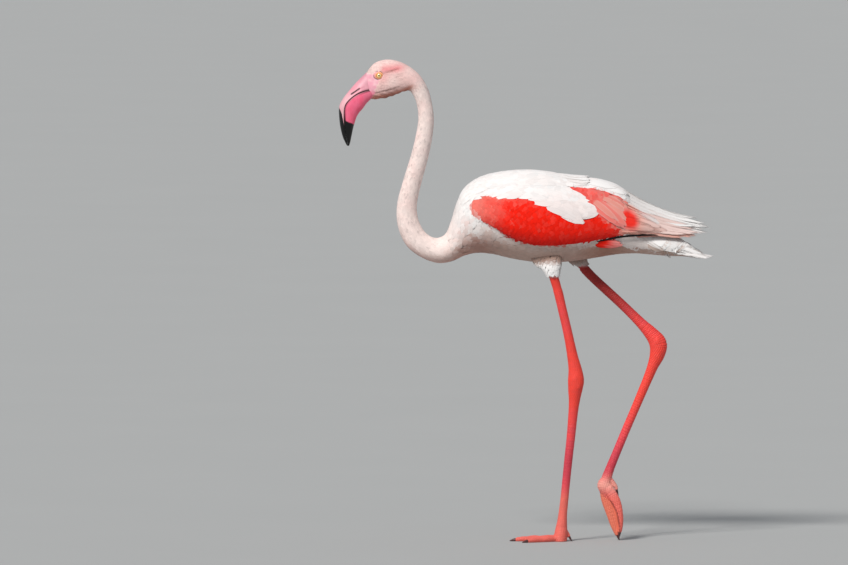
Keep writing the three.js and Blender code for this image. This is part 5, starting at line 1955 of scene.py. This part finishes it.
class FLAMINGO_OT_grounds(bpy.types.Operator):
    """Make the shapes that feathers and scales are laid on, and the trees that lay them"""

    bl_idname = "flamingo.grounds"
    bl_label = "Grounds and trees"

    def execute(self, context):
        coat_tree(True)
        coat_tree(False)
        feather_finish()
        made = [body_ground()]
        for word in SIDES:
            made += [leg_ground(word), thigh_ground(word)]
        for ground in made:
            ground.hide_render = True
        return {"FINISHED"}


class FLAMINGO_OT_skin(bpy.types.Operator):
    """Make one skin for head, neck, trunk, legs, feet and eyelids"""

    bl_idname = "flamingo.skin"
    bl_label = "Skin"

    def execute(self, context):
        bare = chosen("bare")
        parts = []
        for word, side in SIDES.items():
            parts.append(object_of("leg", bpy.data.objects[f"leg_ground_{word}"].data.copy()))
            points, faces = eyelids(side)
            height = np.abs(points[:, 1]) / MM - EYE["out"]
            tint = mixed(bare.lores, bare.lid, 0.25 + 0.75 * step(2.4, 4.2, height))
            parts.append(skin_part("lids", points, faces, tint, np.ones(len(points))))
        mesh = united(body_skin(), *parts)
        mesh.attributes.remove(mesh.attributes["outward"])
        mesh.shade_smooth()
        mesh.name = "skin"
        flesh = ["head", "neck_upper", "neck_middle", "neck_lower", "neck_base", "trunk"]
        for part in ("thigh", "shank", "ankle", "tarsus", "foot"):
            flesh += [f"{part}_{word}" for word in SIDES]
        own(object_of("skin", mesh), flesh, skin_finish())
        return {"FINISHED"}


class FLAMINGO_OT_bill(bpy.types.Operator):
    """Make the two halves of the bill with their black tips"""

    bl_idname = "flamingo.bill"
    bl_label = "Bill"

    def execute(self, context):
        horn = bill_finish()
        own(bill_half(True), ["bill_upper", "bill_upper_tip"], horn)
        own(bill_half(False), ["bill_lower", "bill_lower_tip"], horn)
        return {"FINISHED"}


class FLAMINGO_OT_eyes(bpy.types.Operator):
    """Make the two eyes"""

    bl_idname = "flamingo.eyes"
    bl_label = "Eyes"

    def execute(self, context):
        wet = eye_finish()
        for word, side in SIDES.items():
            own(eyeball(word, side), [f"eye_{word}"], wet)
        return {"FINISHED"}


class FLAMINGO_OT_claws(bpy.types.Operator):
    """Make the claws of both feet"""

    bl_idname = "flamingo.claws"
    bl_label = "Claws"

    def execute(self, context):
        horn = claw_finish()
        for word in SIDES:
            points, faces = joined([claw(toe) for toe in (*TOES[word].values(), HIND_TOES[word])])
            made = object_of(f"claws_{word}", turned_out(mesh_of(f"claws_{word}", points, faces)))
            nodes = [name for name in frame["nodes"] if name.startswith("claw_") and name.endswith(word)]
            own(made, nodes, horn)
        return {"FINISHED"}


class FLAMINGO_OT_leg_scales(bpy.types.Operator):
    """Lay horny scales over the bare legs and toes"""

    bl_idname = "flamingo.leg_scales"
    bl_label = "Leg scales"

    def execute(self, context):
        horn = leg_scale_finish()
        with vane_set("scales", plate("scale")) as scales:
            for word in SIDES:
                leg = bpy.data.objects[f"leg_ground_{word}"]
                more = {"carrier": scale_rows(word), "Ground": leg, "Material": horn}
                own(coat(f"leg_scales_{word}", scales, 0.96, 0.42, 1.0, 0.1, **more), [])
        return {"FINISHED"}


class FLAMINGO_OT_body_coat(bpy.types.Operator):
    """Scatter the small feathers of head, neck, back and underparts"""

    bl_idname = "flamingo.body_coat"
    bl_label = "Body feathers"

    def execute(self, context):
        sizes = chosen("coat")
        close = (0.62, 0.93, 1.0, 0.96)
        small = [vane("small_a", 4, 2, 0.5, rise=close), vane("small_b", 4, 2, 0.62, rise=close)]
        broad = vane_pair("broad", 5, 4, (0.42, 0.02), (0.5, 0.03))
        with vane_set("small vanes", *small) as fine, broad as full:
            for part, vanes, spacing, width, thick, lift, stray, slot in (
                ("head", fine, sizes.head_spacing, 0.36, 0.08, 0.95, 0.16, "face_pink"),
                ("neck", fine, sizes.neck_spacing, 0.36, 0.12, 0.93, 0.16, "plumage"),
                ("back", full, sizes.body_spacing, 0.42, 0.2, 0.92, 0.16, "plumage"),
                ("underparts", full, sizes.body_spacing, 0.42, 0.2, 0.92, 0.2, "plumage"),
            ):
                more = {"Region": f"on_{part}", "Spacing": spacing}
                own(coat(f"coat_{part}", vanes, width, thick, lift, stray, **more), [])
        return {"FINISHED"}


class FLAMINGO_OT_wing_coverts(bpy.types.Operator):
    """Lay the red coverts of the folded wings and the long coral ones behind them"""

    bl_idname = "flamingo.wing_coverts"
    bl_label = "Wing coverts"

    def execute(self, context):
        short = vane_pair("covert", 8, 6, (0.38, 0.006), (0.46, 0.012))
        long = vane_pair("slim", 12, 6, (0.34, 0.006), (0.42, 0.01))
        with short as vanes, long as slim:
            for word, side in SIDES.items():
                made = coat(f"coverts_{word}", vanes, 0.54, 0.2, 0.94, 0.06, covert_rows(side))
                own(made, [f"wing_{word}"])
                made = coat(f"rear_coverts_{word}", slim, 0.15, 0.3, 0.97, 0.03, rear_covert_rows(side))
                own(made, [])
        return {"FINISHED"}


class FLAMINGO_OT_thigh_feathers(bpy.types.Operator):
    """Scatter the fluffy feathers of the thighs"""

    bl_idname = "flamingo.thigh_feathers"
    bl_label = "Thigh feathers"

    def execute(self, context):
        with vane_pair("thigh", 4, 4, (0.5, 0.06), (0.4, 0.1)) as vanes:
            for word in SIDES:
                more = {"Region": "on_thigh", "Spacing": 2.5 * MM}
                more["Ground"] = bpy.data.objects[f"thigh_ground_{word}"]
                own(coat(f"thigh_feathers_{word}", vanes, 0.46, 0.25, 1.0, 0.25, **more), [])
        return {"FINISHED"}


class FLAMINGO_OT_scapulars(bpy.types.Operator):
    """Lay the white scapulars and the long feathers of the rump"""

    bl_idname = "flamingo.scapulars"
    bl_label = "Scapulars"

    def execute(self, context):
        with vane_pair("long", 9, 6, (0.36, 0.008), (0.42, 0.014)) as vanes:
            for word, side in SIDES.items():
                made = coat(f"scapular_feathers_{word}", vanes, 0.28, 0.34, 0.97, 0.05, scapular_rows(side))
                own(made, [f"scapulars_{word}"])
                made = coat(f"rump_feathers_{word}", vanes, 0.22, 0.34, 0.97, 0.05, rump_rows(side))
                own(made, [])
        return {"FINISHED"}


class FLAMINGO_OT_long_plumes(bpy.types.Operator):
    """Make the long plumes over the tail and the black flight feathers under them"""

    bl_idname = "flamingo.long_plumes"
    bl_label = "Long plumes"

    def execute(self, context):
        black = chosen("plumage").black
        feather = bpy.data.materials["feather"]
        for word, side in SIDES.items():
            chance = np.random.default_rng(21)
            plumes = tertial_vanes(side, chance) + covering_plumes(side, chance)
            plumes += [spot_plume(side, chance), *small_red_plumes(side, chance)]
            made = plume_object(f"tertial_feathers_{word}", plumes, True)
            own(made, [f"tertials_{word}"], feather)
            flight = []
            for row, (root, bow, tip, width, lean) in enumerate(PRIMARIES):
                curve = mirrored((root, bow, tip), side)
                shape = plume(*curve, width, [0, lean, -side], chance, 0.7, 30, 0.5)
                flight.append((shape, black, black, unwrapped(27.5, side * (0.9 + 0.2 * row))))
            made = plume_object(f"flight_feathers_{word}", flight)
            own(made, [f"primaries_{word}"], feather)
        return {"FINISHED"}


class FLAMINGO_OT_tail(bpy.types.Operator):
    """Make the tail feathers and the coverts over and under them"""

    bl_idname = "flamingo.tail"
    bl_label = "Tail"

    def execute(self, context):
        chance = np.random.default_rng(31)
        plumes = []
        for side in SIDES.values():
            plumes += tail_vanes(side, chance) + loose_tail_coverts(side, chance)
        own(plume_object("tail_feathers", plumes), ["tail"], bpy.data.materials["feather"])
        with vane_pair("soft", 9, 6, (0.34, 0.012), (0.42, 0.02)) as vanes:
            own(coat("tail_coverts", vanes, 0.42, 0.34, 0.97, 0.06, tail_covert_rows()), [])
        return {"FINISHED"}


class FLAMINGO_OT_clear(bpy.types.Operator):
    """Remove the shapes that were only laid on"""

    bl_idname = "flamingo.clear"
    bl_label = "Clear the grounds"

    def execute(self, context):
        drop(*[made for made in bpy.data.objects if "_ground" in made.name])
        return {"FINISHED"}


class FLAMINGO_OT_stage(bpy.types.Operator):
    """Make the floor, the lights and the camera"""

    bl_idname = "flamingo.stage"
    bl_label = "Stage"

    def execute(self, context):
        stage = chosen("stage")
        scene = context.scene
        corners = np.array([[-1, -1, 0], [1, -1, 0], [1, 1, 0], [-1, 1, 0]]) * FLOOR_REACH
        floor = object_of("floor", mesh_of("floor", corners, [(0, 1, 2, 3)]))
        floor.data.materials.append(floor_finish())
        world = bpy.data.worlds.new("Studio")
        world.use_nodes = True
        world.node_tree.nodes.clear()
        nodes = Nodes(world.node_tree)
        sky = nodes.add("ShaderNodeBackground", {"Color": (*stage.sky_tint, 1.0), "Strength": stage.sky})
        nodes.add("ShaderNodeOutputWorld", {"Surface": sky.outputs[0]})
        scene.world = world
        scene.view_settings.view_transform = "Standard"
        sun = bpy.data.lights.new("sun", "SUN")
        sun.energy = stage.sun
        sun.angle = math.radians(14)
        sun.color = (1.0, 0.98, 0.955)
        lamp = object_of("sun", sun)
        lamp.rotation_euler = Vector((0.6, 1.0, -1.02)).to_track_quat("-Z", "Y").to_euler()
        lens = bpy.data.cameras.new("camera")
        lens.sensor_width = 36.0
        lens.lens = lens.sensor_width * stage.distance / stage.view_width
        lens.clip_end = 400.0
        camera = object_of("camera", lens)
        middle = Vector((CAD_BOX[0][0] + stage.view_x, 0.0, stage.view_z))
        back = Vector((0.0, -math.cos(stage.elevation), math.sin(stage.elevation)))
        camera.location = middle + back * stage.distance
        camera.rotation_euler = (-back).to_track_quat("-Z", "Y").to_euler()
        scene.camera = camera
        return {"FINISHED"}


class FLAMINGO_PT_panel(bpy.types.Panel):
    """Lists the sizes, the colours and the steps that make the bird"""

    bl_idname = "FLAMINGO_PT_panel"
    bl_label = "Greater flamingo"
    bl_space_type = "VIEW_3D"
    bl_region_type = "UI"
    bl_category = "Flamingo"

    def draw(self, context):
        for settings in GROUPS:
            box = self.layout.box()
            for name in GROUPS[settings].__annotations__:
                box.prop(getattr(context.scene, settings), name)
        for step_class in STEPS:
            self.layout.operator(step_class.bl_idname)


GROUPS = {
    "flamingo_plumage": PlumageColours,
    "flamingo_bare": BareColours,
    "flamingo_coat": CoatSizes,
    "flamingo_stage": StageSizes,
}
STEPS = [
    FLAMINGO_OT_stage,
    FLAMINGO_OT_grounds,
    FLAMINGO_OT_skin,
    FLAMINGO_OT_bill,
    FLAMINGO_OT_eyes,
    FLAMINGO_OT_claws,
    FLAMINGO_OT_leg_scales,
    FLAMINGO_OT_body_coat,
    FLAMINGO_OT_wing_coverts,
    FLAMINGO_OT_thigh_feathers,
    FLAMINGO_OT_scapulars,
    FLAMINGO_OT_long_plumes,
    FLAMINGO_OT_tail,
    FLAMINGO_OT_clear,
]


def register():
    for group in GROUPS.values():
        bpy.utils.register_class(group)
    for name, group in GROUPS.items():
        setattr(bpy.types.Scene, name, PointerProperty(type=group))
    for made in (*STEPS, FLAMINGO_PT_panel):
        bpy.utils.register_class(made)


def unregister():
    for made in (FLAMINGO_PT_panel, *reversed(STEPS)):
        bpy.utils.unregister_class(made)
    for name, group in GROUPS.items():
        delattr(bpy.types.Scene, name)
        bpy.utils.unregister_class(group)


def main():
    register()
    for made in STEPS:
        group, name = made.bl_idname.split(".")
        getattr(getattr(bpy.ops, group), name)()
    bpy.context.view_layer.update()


if __name__ == "__main__":
    main()
